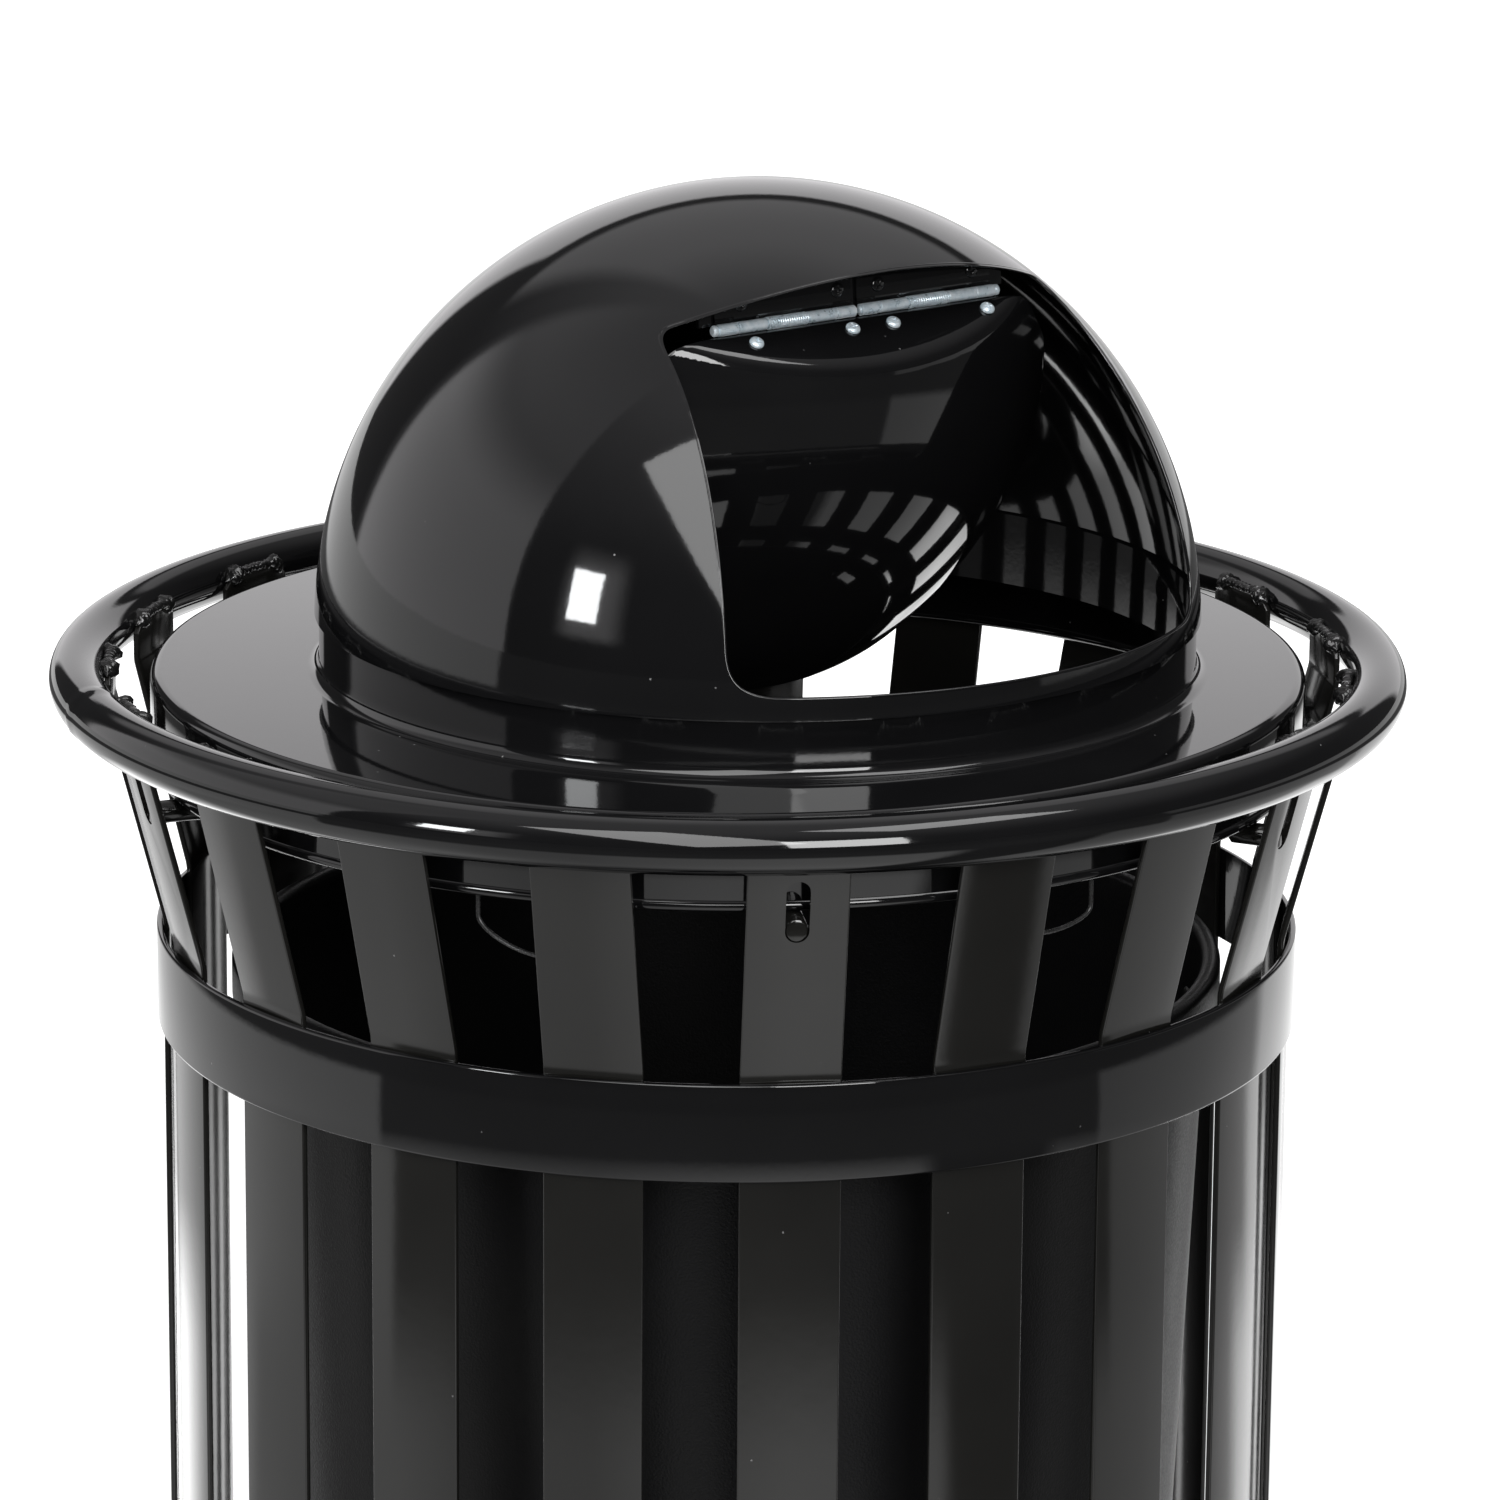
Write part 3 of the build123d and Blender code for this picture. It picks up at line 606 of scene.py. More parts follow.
def weld_run(azimuth, seed):
    """The bead along the top edge of one slat: thin and rippled, with a heavy lump at each end."""
    d = outward(azimuth)
    side = Vector((-d.y, d.x, 0))
    stations, sides = 64, 14
    verts, faces = [], []
    for i in range(stations + 1):
        t = -1 + 2 * i / stations
        across = t * 24.0
        ends = math.exp(-((abs(t) - 0.74) / 0.15) ** 2)
        ripple = 0.22 * math.sin(across * 2.1 + seed) + 0.30 * noise.noise(Vector((across * 0.35, seed, 1.0)))
        size = (2.3 + 2.5 * ends) * (1 + ripple * 0.6) * min(1.0, (1 - abs(t)) * 7 + 0.02)
        reach = math.sqrt(RIM_R ** 2 - across ** 2) - RIM_R
        shift = 0.5 * noise.noise(Vector((across * 0.2, seed, 5.0)))
        drop = 3.4 * max(abs(t) - 0.62, 0) / 0.38
        centre = d * (FACE_TOP + reach * 0.2 - 1.1) + side * across
        centre += Vector((0, 0, SLAT_TOP + 0.5 - drop + shift))
        for k in range(sides):
            a = 2 * math.pi * k / sides
            lump = 1 + 0.35 * noise.noise(Vector((across * 0.5, math.cos(a) * 1.3, math.sin(a) * 1.3 + seed)))
            r = size * lump
            verts.append(tuple(centre + d * (r * 1.15 * math.cos(a)) + Vector((0, 0, r * math.sin(a)))))
    for i in range(stations):
        for k in range(sides):
            m = (k + 1) % sides
            faces.append((i * sides + k, i * sides + m, (i + 1) * sides + m, (i + 1) * sides + k))
    return verts, faces


def build_welds():
    rng = random.Random(11)
    runs = [weld_run(slat_azimuth(i), rng.uniform(0, 40)) for i in range(SLATS)]
    piece("rim_weld_beads", *merge(runs), WELD_COAT, "bin_body", ["rim_welds"], "black_gloss_paint",
          smooth=None)


piece("rim_hoop", *rim_tube(), GLOSS, "bin_body", ["rim_tube"], "black_gloss_paint", smooth=None)
build_slats()
band("band_upper", "upper_band", RIM_Z - 184.6)
band("band_lower", "lower_band", SLAT_LOW)
rest_pins()
build_welds()


# ------------------------------------------------------------------ liner
def build_liner():
    wall, foot, t, rim = 256.0, 229.0, 4.0, 699.0
    low = 50.45
    lip = [(0, low, 0), (foot, low, 14), (wall - 0.9, rim - 26, 0), (258.5, rim - 24, 0),
           (262, rim - 24, 1.0), (262, rim, 4.5), (wall - t, rim, 4.0), (wall - t - 0.9, rim - 26, 0),
           (foot - t, low + t, 10), (0, low + t, 0)]
    profile = rounded(lip, closed=False, steps=6)
    tub = piece("liner_tub_shell", *lathe(profile, 256), PLASTIC, None)
    hole = []
    for k in range(17):
        a = -math.pi / 2 + math.pi * k / 16
        hole.append((35 + 13 * math.cos(a), 13 * math.sin(a)))
    for k in range(17):
        a = math.pi / 2 + math.pi * k / 16
        hole.append((-35 + 13 * math.cos(a), 13 * math.sin(a)))
    across = outward(HAND_HOLE_AZ)
    level = Vector((across.y, -across.x, 0))
    start = Vector((0, 0, rim - 48)) - across * 300
    cut_away(tub, [prism(hole, start, level, Vector((0, 0, 1)), across * 600)])
    finish_piece(tub, PLASTIC, "liner_tub", ["liner"], smooth=40)


build_liner()


# ------------------------------------------------------------------ lid
def build_lid_pan():
    """Flat annulus with an off-centre hole, its upturned neck, and the skirt with a rolled hem."""
    segments = 384
    t = 2.0
    neck = NECK_R
    flare = 6.5
    outer = rounded([(NECK_R + 20, LID_TOP, 0), (LID_R, LID_TOP, 6), (LID_R, HEM_Z + 6, 0)],
                    closed=False, steps=8)
    hem = []
    for k in range(13):
        a = math.radians(62 - 270 * k / 12)
        hem.append((LID_R - 1.6 + 3.0 * math.cos(a), HEM_Z + 3.0 + 3.0 * math.sin(a)))
    inner = rounded([(LID_R - t, HEM_Z + 6, 0), (LID_R - t, LID_TOP - t, 4), (NECK_R + 20, LID_TOP - t, 0)],
                    closed=False, steps=8)
    skirt = outer[1:] + hem + inner[:-1]
    neck_profile = [(neck - 1.7, LID_TOP - t), (neck - 1.7, NECK_TOP - 0.5), (neck - 1.2, NECK_TOP),
                    (neck - 0.5, NECK_TOP), (neck, NECK_TOP - 0.5), (neck, LID_TOP + flare + 4)]
    for k in range(11):
        a = math.pi - (math.pi / 2) * k / 10
        neck_profile.append((neck + flare + flare * math.cos(a), LID_TOP + flare - flare * math.sin(a)))
    verts, faces = [], []
    rows = [(r, z, 0) for r, z in neck_profile] + [(r, z, 1) for r, z in skirt]
    for r, z, own in rows:
        cx, cy = (0.0, 0.0) if own else (DOME.x, DOME.y)
        for k in range(segments):
            a = 2 * math.pi * k / segments
            verts.append((cx + r * math.cos(a), cy + r * math.sin(a), z))
    total = len(rows)
    for i in range(total):
        j = (i + 1) % total
        for k in range(segments):
            m = (k + 1) % segments
            faces.append((i * segments + k, i * segments + m, j * segments + m, j * segments + k))
    pan = piece("lid_plate", verts, faces, GLOSS, None)
    recalculate(pan.data)
    finish_piece(pan, GLOSS, "lid", ["lid_pan"], smooth=40)


def opening_outline():
    """Door opening seen from the front, as (x, z) offsets from the dome's centre."""

    def arc(p0, p1, p2, steps):
        (x0, y0), (x1, y1), (x2, y2) = p0, p1, p2
        s0, s1, s2 = x0 ** 2 + y0 ** 2, x1 ** 2 + y1 ** 2, x2 ** 2 + y2 ** 2
        d = 2 * (x0 * (y1 - y2) + x1 * (y2 - y0) + x2 * (y0 - y1))
        ux = (s0 * (y1 - y2) + s1 * (y2 - y0) + s2 * (y0 - y1)) / d
        uy = (s0 * (x2 - x1) + s1 * (x0 - x2) + s2 * (x1 - x0)) / d
        r = math.hypot(x0 - ux, y0 - uy)
        a0, a2 = math.atan2(y0 - uy, x0 - ux), math.atan2(y2 - uy, x2 - ux)
        turn = (a2 - a0 + math.pi) % (2 * math.pi) - math.pi
        return [(ux + r * math.cos(a0 + turn * k / steps), uy + r * math.sin(a0 + turn * k / steps))
                for k in range(steps + 1)]

    left = arc((-150, 18.3), (-142.7, 93.5), (-122, 182), 24)
    top = arc((-122, 182), (0, 204.9), (122, 182), 40)
    right = arc((122, 182), (142.7, 93.5), (150, 18.3), 24)
    bottom = [(150 - 300 * k / 40, 18.3) for k in range(1, 40)]
    corners = [(-150, 18.3, 22), (-122, 182, 17), (122, 182, 17), (150, 18.3, 22)]
    return smooth_corners(left[:-1] + top[:-1] + right + bottom, corners)


def smooth_corners(pts, corners):
    """Replace the stretch of a dense closed outline near each corner by an arc of a radius."""
    out = list(pts)
    for cx, cy, r in corners:
        n = len(out)
        i = min(range(n), key=lambda k: (out[k][0] - cx) ** 2 + (out[k][1] - cy) ** 2)
        c = Vector(out[i])

        def walk(step):
            k, gone, prev = i, 0.0, Vector(out[i])
            while True:
                k = (k + step) % n
                p = Vector(out[k])
                seg = (p - prev).length
                if gone + seg >= reach:
                    return prev + (p - prev) * ((reach - gone) / seg), k
                gone += seg
                prev = p

        u = (Vector(out[(i - 1) % n]) - c).normalized()
        v = (Vector(out[(i + 1) % n]) - c).normalized()
        half = u.angle(v) / 2
        reach = r / math.tan(half)
        a, ka = walk(-1)
        b, kb = walk(1)
        bend = []
        for k in range(13):
            t = k / 12
            w = 1.15
            middle = 2 * w * t * (1 - t)
            q = (a * (1 - t) ** 2 + c * middle + b * t ** 2) / ((1 - t) ** 2 + middle + t ** 2)
            bend.append((q.x, q.y))
        kept = []
        k = kb
        while True:
            kept.append(out[k])
            if k == ka:
                break
            k = (k + 1) % n
        out = bend + kept
    return out


def on_dome(x, z, radius):
    return Vector((DOME.x + x, DOME.y - math.sqrt(max(radius ** 2 - x * x - z * z, 1.0)), DOME.z + z))


def build_dome():
    steps = 120
    profile = []
    low = math.asin(DOME_FOOT / DOME_R)
    for k in range(steps + 1):
        a = low + (math.pi / 2 - low) * k / steps
        profile.append((DOME_R * math.cos(a), DOME.z + DOME_R * math.sin(a)))
    inside = DOME_R - DOME_T
    low = math.asin(DOME_FOOT / inside)
    for k in range(steps + 1):
        a = math.pi / 2 - (math.pi / 2 - low) * k / steps
        profile.append((inside * math.cos(a), DOME.z + inside * math.sin(a)))
    profile = [(0.0 if r < 1e-6 else r, z) for r, z in profile]
    dome = piece("dome_cover", *lathe(profile, 256, (DOME.x, DOME.y)), GLOSS, None)
    outline = opening_outline()
    cut_away(dome, [prism(outline, Vector((DOME.x, DOME.y - 20, DOME.z)), Vector((1, 0, 0)),
                          Vector((0, 0, 1)), Vector((0, -260, 0)))])
    finish_piece(dome, GLOSS, "lid", ["dome_shell"], smooth=None)
    exact_sphere_normals(dome, DOME, (DOME_R, inside))
    edge = [on_dome(x, z, DOME_R - DOME_T / 2) for x, z in outline]
    piece("door_opening_edge", *tube(edge, 1.0, 10, closed=True), GLOSS, "lid", [], "black_gloss_paint",
          smooth=None)


def exact_sphere_normals(obj, centre, radii):
    """Give every corner that lies on one of the spheres that sphere's own normal."""
    mesh = obj.data
    c = Vector(centre) * MM
    outer, inner = (r * MM for r in radii)
    normals = [(0.0, 0.0, 0.0)] * len(mesh.loops)
    for p in mesh.polygons:
        dist = [(mesh.vertices[v].co - c).length for v in p.vertices]
        sign = 0
        if max(abs(d - outer) for d in dist) < 2e-4:
            sign = 1
        elif max(abs(d - inner) for d in dist) < 2e-4:
            sign = -1
        for li in p.loop_indices:
            if sign:
                n = (mesh.vertices[mesh.loops[li].vertex_index].co - c).normalized() * sign
            else:
                n = p.normal
            normals[li] = tuple(n)
    mesh.normals_split_custom_set(normals)


build_lid_pan()
build_dome()


# ------------------------------------------------------------------ door
def tilt_axes(tilt):
    """Forward-and-up direction and its normal in the plane across the door."""
    return (Vector((0, -math.cos(tilt), math.sin(tilt))), Vector((0, math.sin(tilt), math.cos(tilt))))


def near_hinge(tilt, x, along, off):
    a, n = tilt_axes(tilt)
    return Vector((HINGE.x + x, HINGE.y, HINGE.z)) + a * along + n * off


SWING = (Matrix.Translation(HINGE) @ Matrix.Rotation(OPEN_REST, 4, "X") @ Matrix.Translation(-HINGE))


def flap_surface(radius, facet_off, blend):
    """Returns a function (x, angle) -> distance from the dome's centre in the plane across the door."""
    n = tilt_axes(FACET_TILT)[1]
    d = (HINGE - DOME).dot(n) + facet_off

    def dist(x, angle):
        r_sphere = math.sqrt(max(radius ** 2 - x * x, 1.0))
        c = math.cos(angle - (FACET_TILT + math.pi / 2))
        r_plane = d / c if c > 0.05 else 1e6
        if r_plane > 4 * r_sphere:
            return r_sphere
        k = blend
        h = max(k - abs(r_sphere - r_plane), 0.0) / k
        return min(r_sphere, r_plane) - h * h * k * 0.25

    return dist


def build_flap():
    columns, rows = 97, 110
    t0 = (HINGE - DOME).dot(tilt_axes(FACET_TILT)[0])

    def point(x, angle, dist):
        r = dist(x, angle)
        return Vector((DOME.x + x, DOME.y - r * math.cos(angle), DOME.z + r * math.sin(angle)))

    def half_width(h):
        base = 161 - 28 * (h - 12.5) / 201.5
        up = h - 12.5
        r = 34.0
        if up < r:
            base -= r * (1 - math.sqrt(max(1 - ((r - up) / r) ** 2, 0.0)))
        return base

    def top_angle(x, dist):
        lo, hi = math.radians(30), math.radians(89)
        for _ in range(40):
            mid = (lo + hi) / 2
            if dist(x, mid) * math.cos(mid - FACET_TILT) > t0 + FACET_S:
                lo = mid
            else:
                hi = mid
        return lo

    dist = flap_surface(FLAP_R, FACET_N, 9.0)
    grid = []
    for j in range(rows):
        v = j / (rows - 1)
        row = []
        for i in range(columns):
            u = -1 + 2 * i / (columns - 1)
            x = u * 130.0
            for _ in range(6):
                low = math.asin(12.5 / dist(x, 0.06))
                high = top_angle(x, dist)
                angle = low + (high - low) * v
                x = u * half_width(dist(x, angle) * math.sin(angle))
            row.append(point(x, angle, dist))
        grid.append(row)
    verts = [tuple(SWING @ p) for row in grid for p in row]
    faces = []
    for j in range(rows - 1):
        for i in range(columns - 1):
            k = j * columns + i
            faces.append((k, k + 1, k + columns + 1, k + columns))
    flap = piece("flap_door", verts, faces, GLOSS, None, smooth=None)
    thick = flap.modifiers.new("thickness", "SOLIDIFY")
    thick.thickness = FLAP_T * MM
    thick.offset = -1.0
    thick.use_even_offset = True
    thick.use_quality_normals = True
    edge = flap.modifiers.new("edge", "BEVEL")
    edge.width = 0.6 * MM
    edge.segments = 2
    edge.limit_method = "ANGLE"
    edge.angle_limit = math.radians(50)
    graph = bpy.context.evaluated_depsgraph_get()
    flap.data = bpy.data.meshes.new_from_object(flap.evaluated_get(graph))
    flap.modifiers.clear()
    finish_piece(flap, GLOSS, "flap", ["flap_panel"], smooth=50)


def box_along(x0, x1, tilt, s0, s1, n0, n1, bevel=0.4):
    """A bar across the door with rounded edges, in the directions of tilt_axes."""
    a, n = tilt_axes(tilt)
    ring = rounded([(s0, n0, bevel), (s1, n0, bevel), (s1, n1, bevel), (s0, n1, bevel)], steps=2)
    origin = Vector((HINGE.x + x0, HINGE.y, HINGE.z))
    return prism(ring, origin, a, n, Vector((x1 - x0, 0, 0)))


def barrel(x0, x1, radius=BARREL_R, edge=0.35, sides=40):
    """A rolled knuckle on the hinge axis with eased ends."""
    stations = [(x0, radius - edge), (x0 + edge, radius), (x1 - edge, radius), (x1, radius - edge)]
    verts, faces = [], []
    for x, r in stations:
        for k in range(sides):
            a = 2 * math.pi * k / sides
            verts.append((HINGE.x + x, HINGE.y + r * math.cos(a), HINGE.z + r * math.sin(a)))
    for i in range(len(stations) - 1):
        for k in range(sides):
            m = (k + 1) % sides
            faces.append((i * sides + k, i * sides + m, (i + 1) * sides + m, (i + 1) * sides + k))
    faces.append(tuple(range(sides))[::-1])
    faces.append(tuple(3 * sides + k for k in range(sides)))
    return verts, faces


def spans(pairs):
    return list(pairs) + [(-b, -a) for a, b in pairs]


def coil(x0, x1, radius, wire, turns):
    pts = []
    steps = turns * 20
    for k in range(steps + 1):
        a = 2 * math.pi * k / 20
        pts.append((HINGE.x + x0 + (x1 - x0) * k / steps, HINGE.y + radius * math.cos(a),
                    HINGE.z + radius * math.sin(a)))
    return tube(pts, wire, 8)


def screw(spot, normal, across, head_r=3.9, head_h=2.3, shank=8.0, turn=0.3):
    """Pan-head screw with a cross recess. Returns (verts, faces)."""
    side = across.normalized()
    up = normal.cross(side)
    sides = 48
    recess = 1.9
    rows = [(recess * 0.55, head_h * 0.62), (recess, head_h * 0.97), (head_r * 0.62, head_h * 0.98),
            (head_r * 0.86, head_h * 0.78), (head_r * 0.97, head_h * 0.45), (head_r, head_h * 0.12),
            (head_r * 0.97, 0.0), (2.0, 0.0), (2.0, -shank)]
    verts, faces = [tuple(spot + normal * (head_h * 0.45))], []
    for index, (r, h) in enumerate(rows):
        for k in range(sides):
            a = 2 * math.pi * k / sides + turn
            rr = r
            if index < 2:
                lobe = abs(math.cos(2 * (a - turn))) ** 6
                rr = r * (0.45 + 0.75 * lobe)
            p = spot + side * (rr * math.cos(a)) + up * (rr * math.sin(a)) + normal * h
            verts.append(tuple(p))
    for k in range(sides):
        faces.append((0, 1 + k, 1 + (k + 1) % sides))
    for i in range(len(rows) - 1):
        for k in range(sides):
            m = (k + 1) % sides
            low, high = 1 + i * sides, 1 + (i + 1) * sides
            faces.append((low + k, low + m, high + m, high + k))
    faces.append(tuple(1 + (len(rows) - 1) * sides + k for k in range(sides)))
    return verts, faces


def build_hinges():
    leaves = []
    for x0, x1 in spans([(1.8, 88.2)]):
        leaves.append(box_along(x0, x1, LEAF_TILT, 3.9, 17, 2.0, 3.5))
    knuckles = [barrel(x0, x1) for x0, x1 in spans([(1.8, 13.7), (76.3, 88.2)])]
    tongues = [box_along(x0, x1, LEAF_TILT, 0, 6, 2.0, 3.5) for x0, x1 in spans([(1.8, 13.7), (76.3, 88.2)])]
    piece("hinge_leaves_fixed", *merge(leaves + tongues), GLOSS, "lid", ["fixed_leaves"], "black_gloss_paint")
    piece("hinge_knuckles_fixed", *merge(knuckles), ZINC, "lid", [], "zinc")

    moving = [box_along(x0, x1, FACET_TILT, 4.4, 16.5, -3.5, -2.0) for x0, x1 in spans([(6, 78)])]
    moving += [box_along(x0, x1, FACET_TILT, 0, 6, -3.5, -2.0) for x0, x1 in spans([(14, 31.5), (58.5, 76)])]
    piece("hinge_leaves_flap", *transformed(merge(moving), SWING), GLOSS, "flap", ["flap_leaves"],
          "black_gloss_paint")
    turning = [barrel(x0, x1) for x0, x1 in spans([(14, 31.5), (58.5, 76)])]
    piece("hinge_knuckles_flap", *transformed(merge(turning), SWING), ZINC, "flap", [], "zinc")

    pins = [barrel(x0, x1, 2.0, 0.5, 24) for x0, x1 in spans([(0.9, 89.4)])]
    pins += [barrel(x0, x1, 2.9, 0.9, 24) for x0, x1 in spans([(88.4, 91.6)])]
    piece("hinge_pivot_pins", *merge(pins), ZINC, "lid", ["hinge_pins"], "zinc")
    springs = [coil(x0, x1, 2.8, 0.62, 18) for x0, x1 in spans([(32.4, 57.6)])]
    piece("hinge_coils", *merge(springs), ZINC, "lid", ["hinge_springs"], "zinc")

    n = tilt_axes(LEAF_TILT)[1]
    fixed = [screw(near_hinge(LEAF_TILT, x, 11.5, 2.0), -n, Vector((1, 0, 0)), head_h=1.1, turn=0.4 + i)
             for i, x in enumerate(SCREW_X)]
    piece("strip_screw_heads", *merge(fixed), GLOSS, "lid", ["strip_screws"], "black_gloss_paint")
    n = tilt_axes(FACET_TILT)[1]
    heads = [screw(near_hinge(FACET_TILT, x, 12.5, FACET_N), n, Vector((1, 0, 0)), turn=0.9 + 0.7 * i)
             for i, x in enumerate(SCREW_X)]
    piece("flap_screw_heads", *transformed(merge(heads), SWING), ZINC, "flap", ["flap_screws"], "zinc")


build_flap()
build_hinges()

# ------------------------------------------------------------------ tether cables
# Each: azimuth at the lid, azimuth at the slat, lowest point of the straight drop, height of the end.
TETHERS = [(-61.0, -50.6, 794.0, 786.0), (1.3, -12.4, 790.0, 810.0)]
TETHER_R, TETHER_TOP, CABLE_R = 295.6, 826.0, 1.1


def face_at(z):
    t = min(max((z - BEND_LOW) / (BEND_HIGH - BEND_LOW), 0), 1)
    return FACE_LOW + t * (FACE_TOP - FACE_LOW)


def build_tethers():
    """The drop is a straight tube up from its foot to the lid and rides on no body. The slack loop and its
    end stay with the slats.
    """
    drops, loops = [], []
    for az_lid, az_slat, low, end_z in TETHERS:
        foot = outward(az_lid) * TETHER_R + Vector((0, 0, low))
        end = outward(az_slat) * (face_at(end_z) - SLAT_T - 3.2) + Vector((0, 0, end_z))
        mid_az = (az_lid + az_slat) / 2
        belly = outward(mid_az) * (TETHER_R + 3) + Vector((0, 0, min(low, end_z) - 8))
        over = (end - foot).normalized() * 13
        down = Vector((0, 0, 7))
        pts = []
        for a, b, c, d in ((foot, foot - down, belly - over, belly), (belly, belly + over, end - down, end)):
            for k in range(20):
                t = k / 20
                pts.append(a * (1 - t) ** 3 + b * 3 * t * (1 - t) ** 2 + c * 3 * t * t * (1 - t) + d * t ** 3)
        pts += [end, end + Vector((0, 0, 9))]
        loops.append(tube(pts, CABLE_R, 12))
        steps = 40
        rise = [foot + Vector((0, 0, (TETHER_TOP - low) * k / steps)) for k in range(steps + 1)]
        drops.append(tube(rise, CABLE_R, 12))
    piece("tether_loops", *merge(loops), JACKET, "bin_body", [], "cable_vinyl")
    drop = piece("tether_drops", *merge(drops), JACKET, None, ["tether_cables"], "cable_vinyl")
    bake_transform(drop)


build_tethers()

# ------------------------------------------------------------------ finishes for the CAD nodes that stay
FINISH = {
    "base_hoop": SLAT_COAT, "base_plate": SLAT_COAT,
    "foot_nuts": ZINC, "lock_nuts": ZINC, "levelling_feet": ZINC,
    "slat_ferrules": ZINC, "hinge_strip": GLOSS, "strip_nuts": ZINC, "lid_ferrules": ZINC, "lid_lugs": GLOSS,
    "flap_nuts": ZINC,
}
for node, material in FINISH.items():
    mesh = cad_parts[node].data
    mesh.materials.clear()
    mesh.materials.append(material)


# ------------------------------------------------------------------ stage, light and camera
def panel_light(name, at, aim, width, height, power, colour=(1, 1, 1)):
    data = bpy.data.lights.new(name, "AREA")
    data.shape = "RECTANGLE"
    data.size, data.size_y = width, height
    data.energy = power
    data.color = colour
    obj = bpy.data.objects.new(name, data)
    obj.location = at
    obj.rotation_euler = (Vector(aim) - Vector(at)).to_track_quat("-Z", "Y").to_euler()
    bpy.context.scene.collection.objects.link(obj)
    return obj


FLOOR_HALF = 30000
floor = raw_object("studio_floor", [(-FLOOR_HALF, -FLOOR_HALF, 0), (FLOOR_HALF, -FLOOR_HALF, 0),
                                    (FLOOR_HALF, FLOOR_HALF, 0), (-FLOOR_HALF, FLOOR_HALF, 0)],
                   [(0, 1, 2, 3)])
floor.data.materials.append(pale_floor_painted_glow())


def direction(azimuth, elevation, distance, centre=(0.0, 0.0, 0.85)):
    """A point seen from the bin at an azimuth from the door side and an elevation, in metres."""
    e = math.radians(elevation)
    return Vector(centre) + (outward(azimuth) * math.cos(e) + Vector((0, 0, math.sin(e)))) * distance


def studio_panel(name, azimuth, elevation, distance, width, height, radiance, colour=(1, 1, 1)):
    """A flat light of a stated radiance facing the bin."""
    power = radiance * math.pi * width * height
    at = direction(azimuth, elevation, distance)
    return panel_light(name, at, (0, 0, 0.85), width, height, power, colour)


def slanted_box(name, a, b, depth, radiance):
    """A long soft box whose lower edge runs from a to b."""
    x = (b - a).normalized()
    z = ((a + b) / 2 - Vector((0, 0, 0.85))).normalized()
    y = z.cross(x).normalized()
    if y.z < 0:
        y = -y
        x = -x
    centre = (a + b) / 2 + y * (depth / 2)
    length = (b - a).length
    box = studio_panel(name, 0, 0, 1.0, length, depth, radiance)
    z = x.cross(y)
    box.rotation_euler = Matrix((x, y, z)).transposed().to_euler()
    box.location = centre


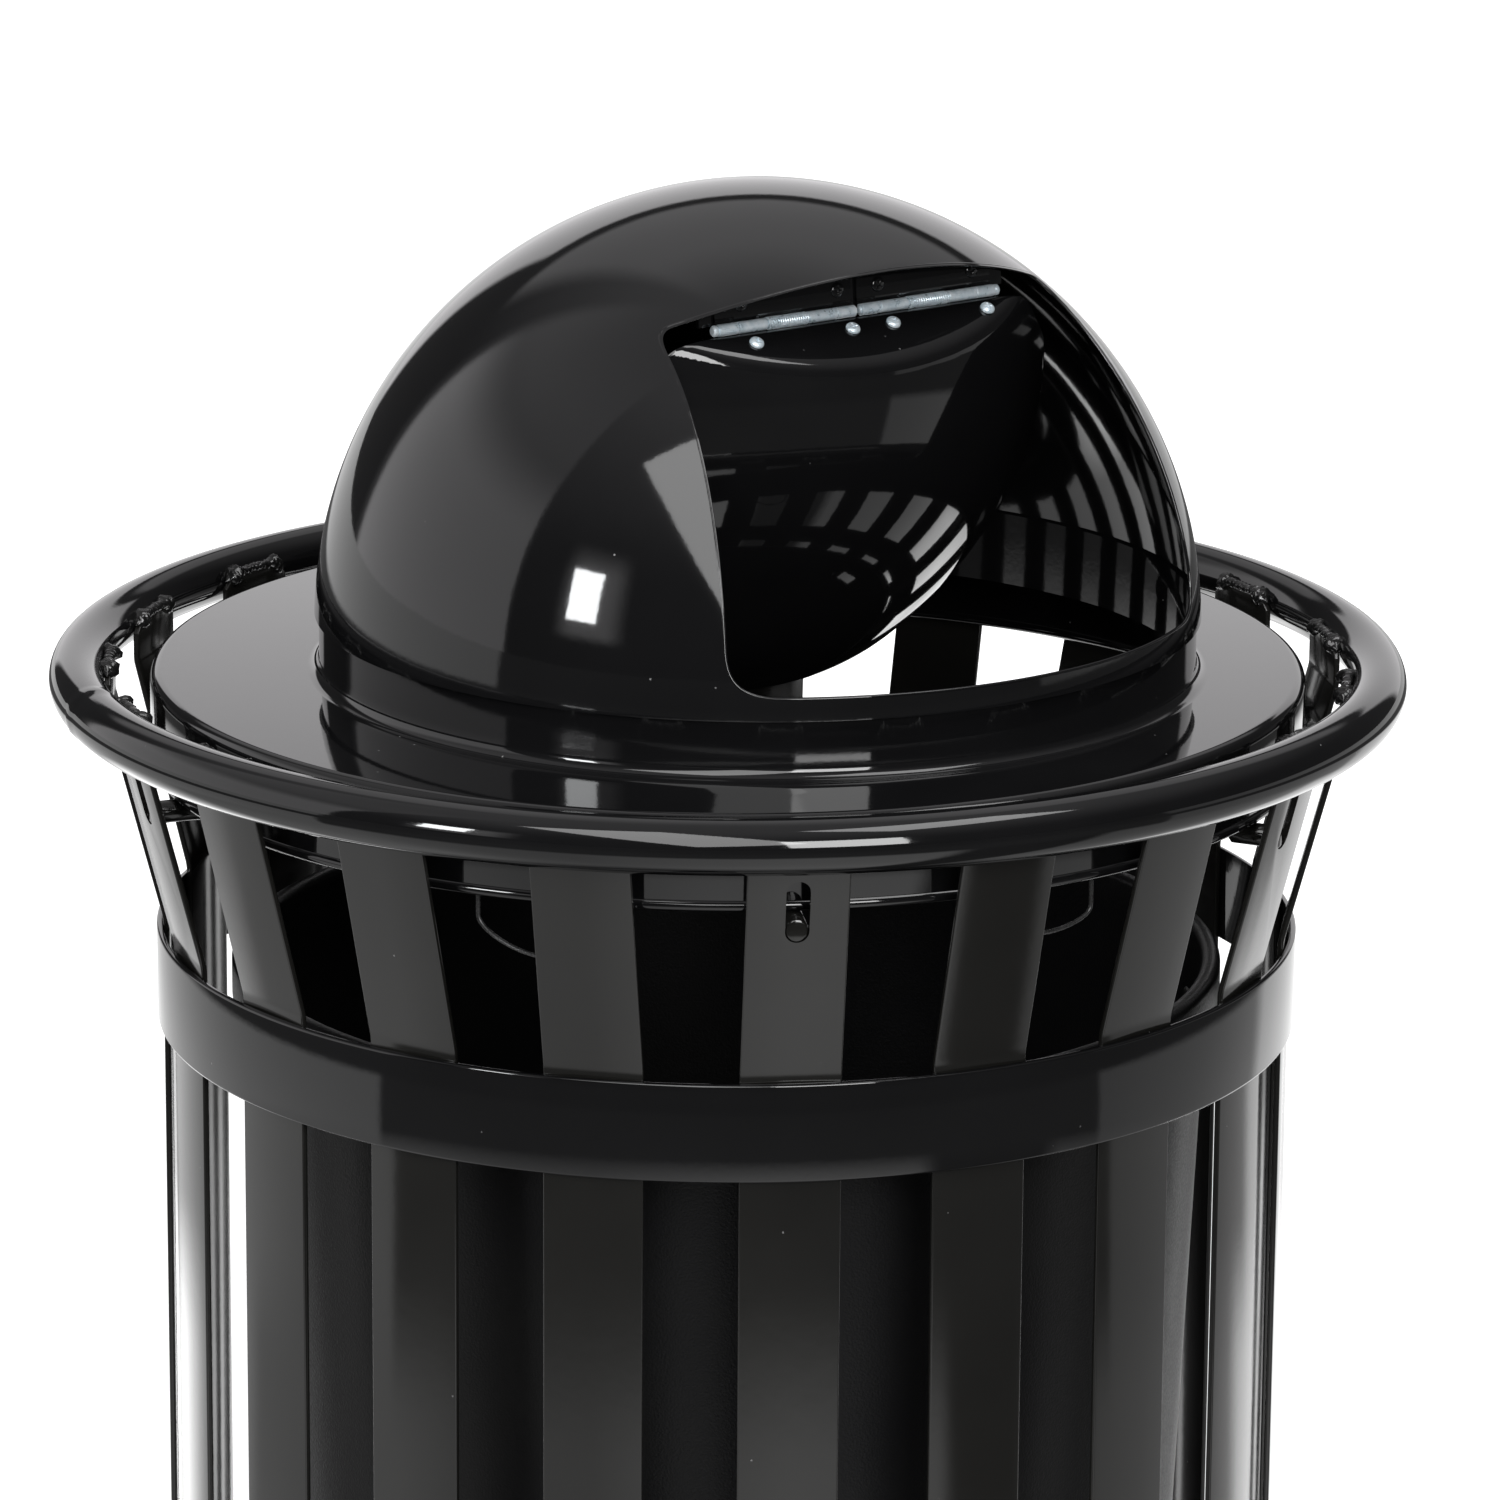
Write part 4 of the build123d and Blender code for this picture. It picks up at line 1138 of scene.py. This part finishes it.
def studio_world():
    """White to the camera. To the paint it is a dim room with white walls at two sides."""
    world = bpy.data.worlds.new("studio")
    bpy.context.scene.world = world
    world.use_nodes = True
    tree = world.node_tree
    background = tree.nodes["Background"]
    ray = tree.nodes.new("ShaderNodeTexCoord").outputs["Generated"]

    def calc(op, a, b=0.0):
        node = tree.nodes.new("ShaderNodeMath")
        node.operation = op
        for socket, value in zip(node.inputs, (a, b)):
            if hasattr(value, "is_output"):
                tree.links.new(value, socket)
            else:
                socket.default_value = value
        return node.outputs[0]

    def along(vector):
        node = tree.nodes.new("ShaderNodeVectorMath")
        node.operation = "DOT_PRODUCT"
        tree.links.new(ray, node.inputs[0])
        node.inputs[1].default_value = vector
        return node.outputs["Value"]

    def fade(value, full, gone):
        node = tree.nodes.new("ShaderNodeMapRange")
        node.interpolation_type = "SMOOTHSTEP"
        node.inputs["From Min"].default_value = full
        node.inputs["From Max"].default_value = gone
        node.inputs["To Min"].default_value = 1.0
        node.inputs["To Max"].default_value = 0.0
        tree.links.new(value, node.inputs["Value"])
        return node.outputs["Result"]

    rise = calc("MULTIPLY", calc("ARCSINE", along((0, 0, 1))), 180 / math.pi)

    def patch(azimuth, left, right, low, high, soft, level):
        """A soft-edged pale area. left and right are degrees either side of its azimuth."""
        d = outward(azimuth)
        turn = calc("ARCTAN2", along((-d.y, d.x, 0)), along(tuple(d)))
        turn = calc("MULTIPLY", turn, 180 / math.pi)
        value = calc("MULTIPLY", fade(turn, right - soft[0], right), fade(turn, soft[1] - left, -left))
        upright = calc("MULTIPLY", fade(rise, high - soft[2], high), fade(rise, low + 3, low))
        value = calc("MULTIPLY", value, upright)
        return calc("MULTIPLY", value, level)

    total = calc("ADD", 0.05, calc("MULTIPLY", fade(rise, 75, 20), 0.42))
    for area in WALLS:
        total = calc("ADD", total, patch(*area))
    path = tree.nodes.new("ShaderNodeLightPath")
    mix = tree.nodes.new("ShaderNodeMix")
    tree.links.new(path.outputs["Is Camera Ray"], mix.inputs["Factor"])
    tree.links.new(total, mix.inputs[2])
    mix.inputs[3].default_value = 1.0
    background.inputs["Color"].default_value = (1.0, 0.985, 1.0, 1)
    tree.links.new(mix.outputs[0], background.inputs["Strength"])


# azimuth, degrees to each side, lowest and highest elevation, softness at right, left and top, level
WALLS = [
    (-137, 33, 33, -20, 40, (0.8, 3, 16), 0.80),
    (-137, 36, 34, -20, 72, (2, 8, 30), 0.34),
    (139, 27, 27, -30, 23, (3, 4, 2), 1.12),
    (140, 32, 40, 25, 80, (10, 10, 30), 0.44),
    (-81, 11, 11, 4, 28, (7, 7, 8), 1.0),
]
studio_world()
studio_panel("strobe", -81, 16, 2.6, 0.36, 0.52, 26.0, (0.97, 0.99, 1.0))
slanted_box("soft_box", direction(-77.7, 48.5, 2.6), direction(-41, 11, 2.6), 0.9, 5.0)
studio_panel("front_box", 20, 62, 2.6, 1.3, 0.8, 5.0)
studio_panel("side_strobe", -18, 18, 2.6, 0.83, 1.0, 13.0)
fill = studio_panel("fill", -40, 84, 3.2, 3.0, 3.0, 1.4)
fill.visible_glossy = False

camera_data = bpy.data.cameras.new("camera")
camera = bpy.data.objects.new("camera", camera_data)
bpy.context.scene.collection.objects.link(camera)
right = Vector((0.80276, -0.59626, 0.00697))
up = Vector((0.15210, 0.21604, 0.96447))
back = -Vector((0.57658, 0.77317, -0.26412))
spot = Vector((-2.27118, -3.06536, 1.84959))
camera.matrix_world = Matrix(((right.x, up.x, back.x, spot.x), (right.y, up.y, back.y, spot.y),
                              (right.z, up.z, back.z, spot.z), (0, 0, 0, 1)))
camera_data.sensor_width = 36.0
camera_data.lens = 180.05
camera_data.clip_start = 0.05
camera_data.clip_end = 200.0
bpy.context.scene.camera = camera
bpy.context.scene.view_settings.view_transform = "Standard"
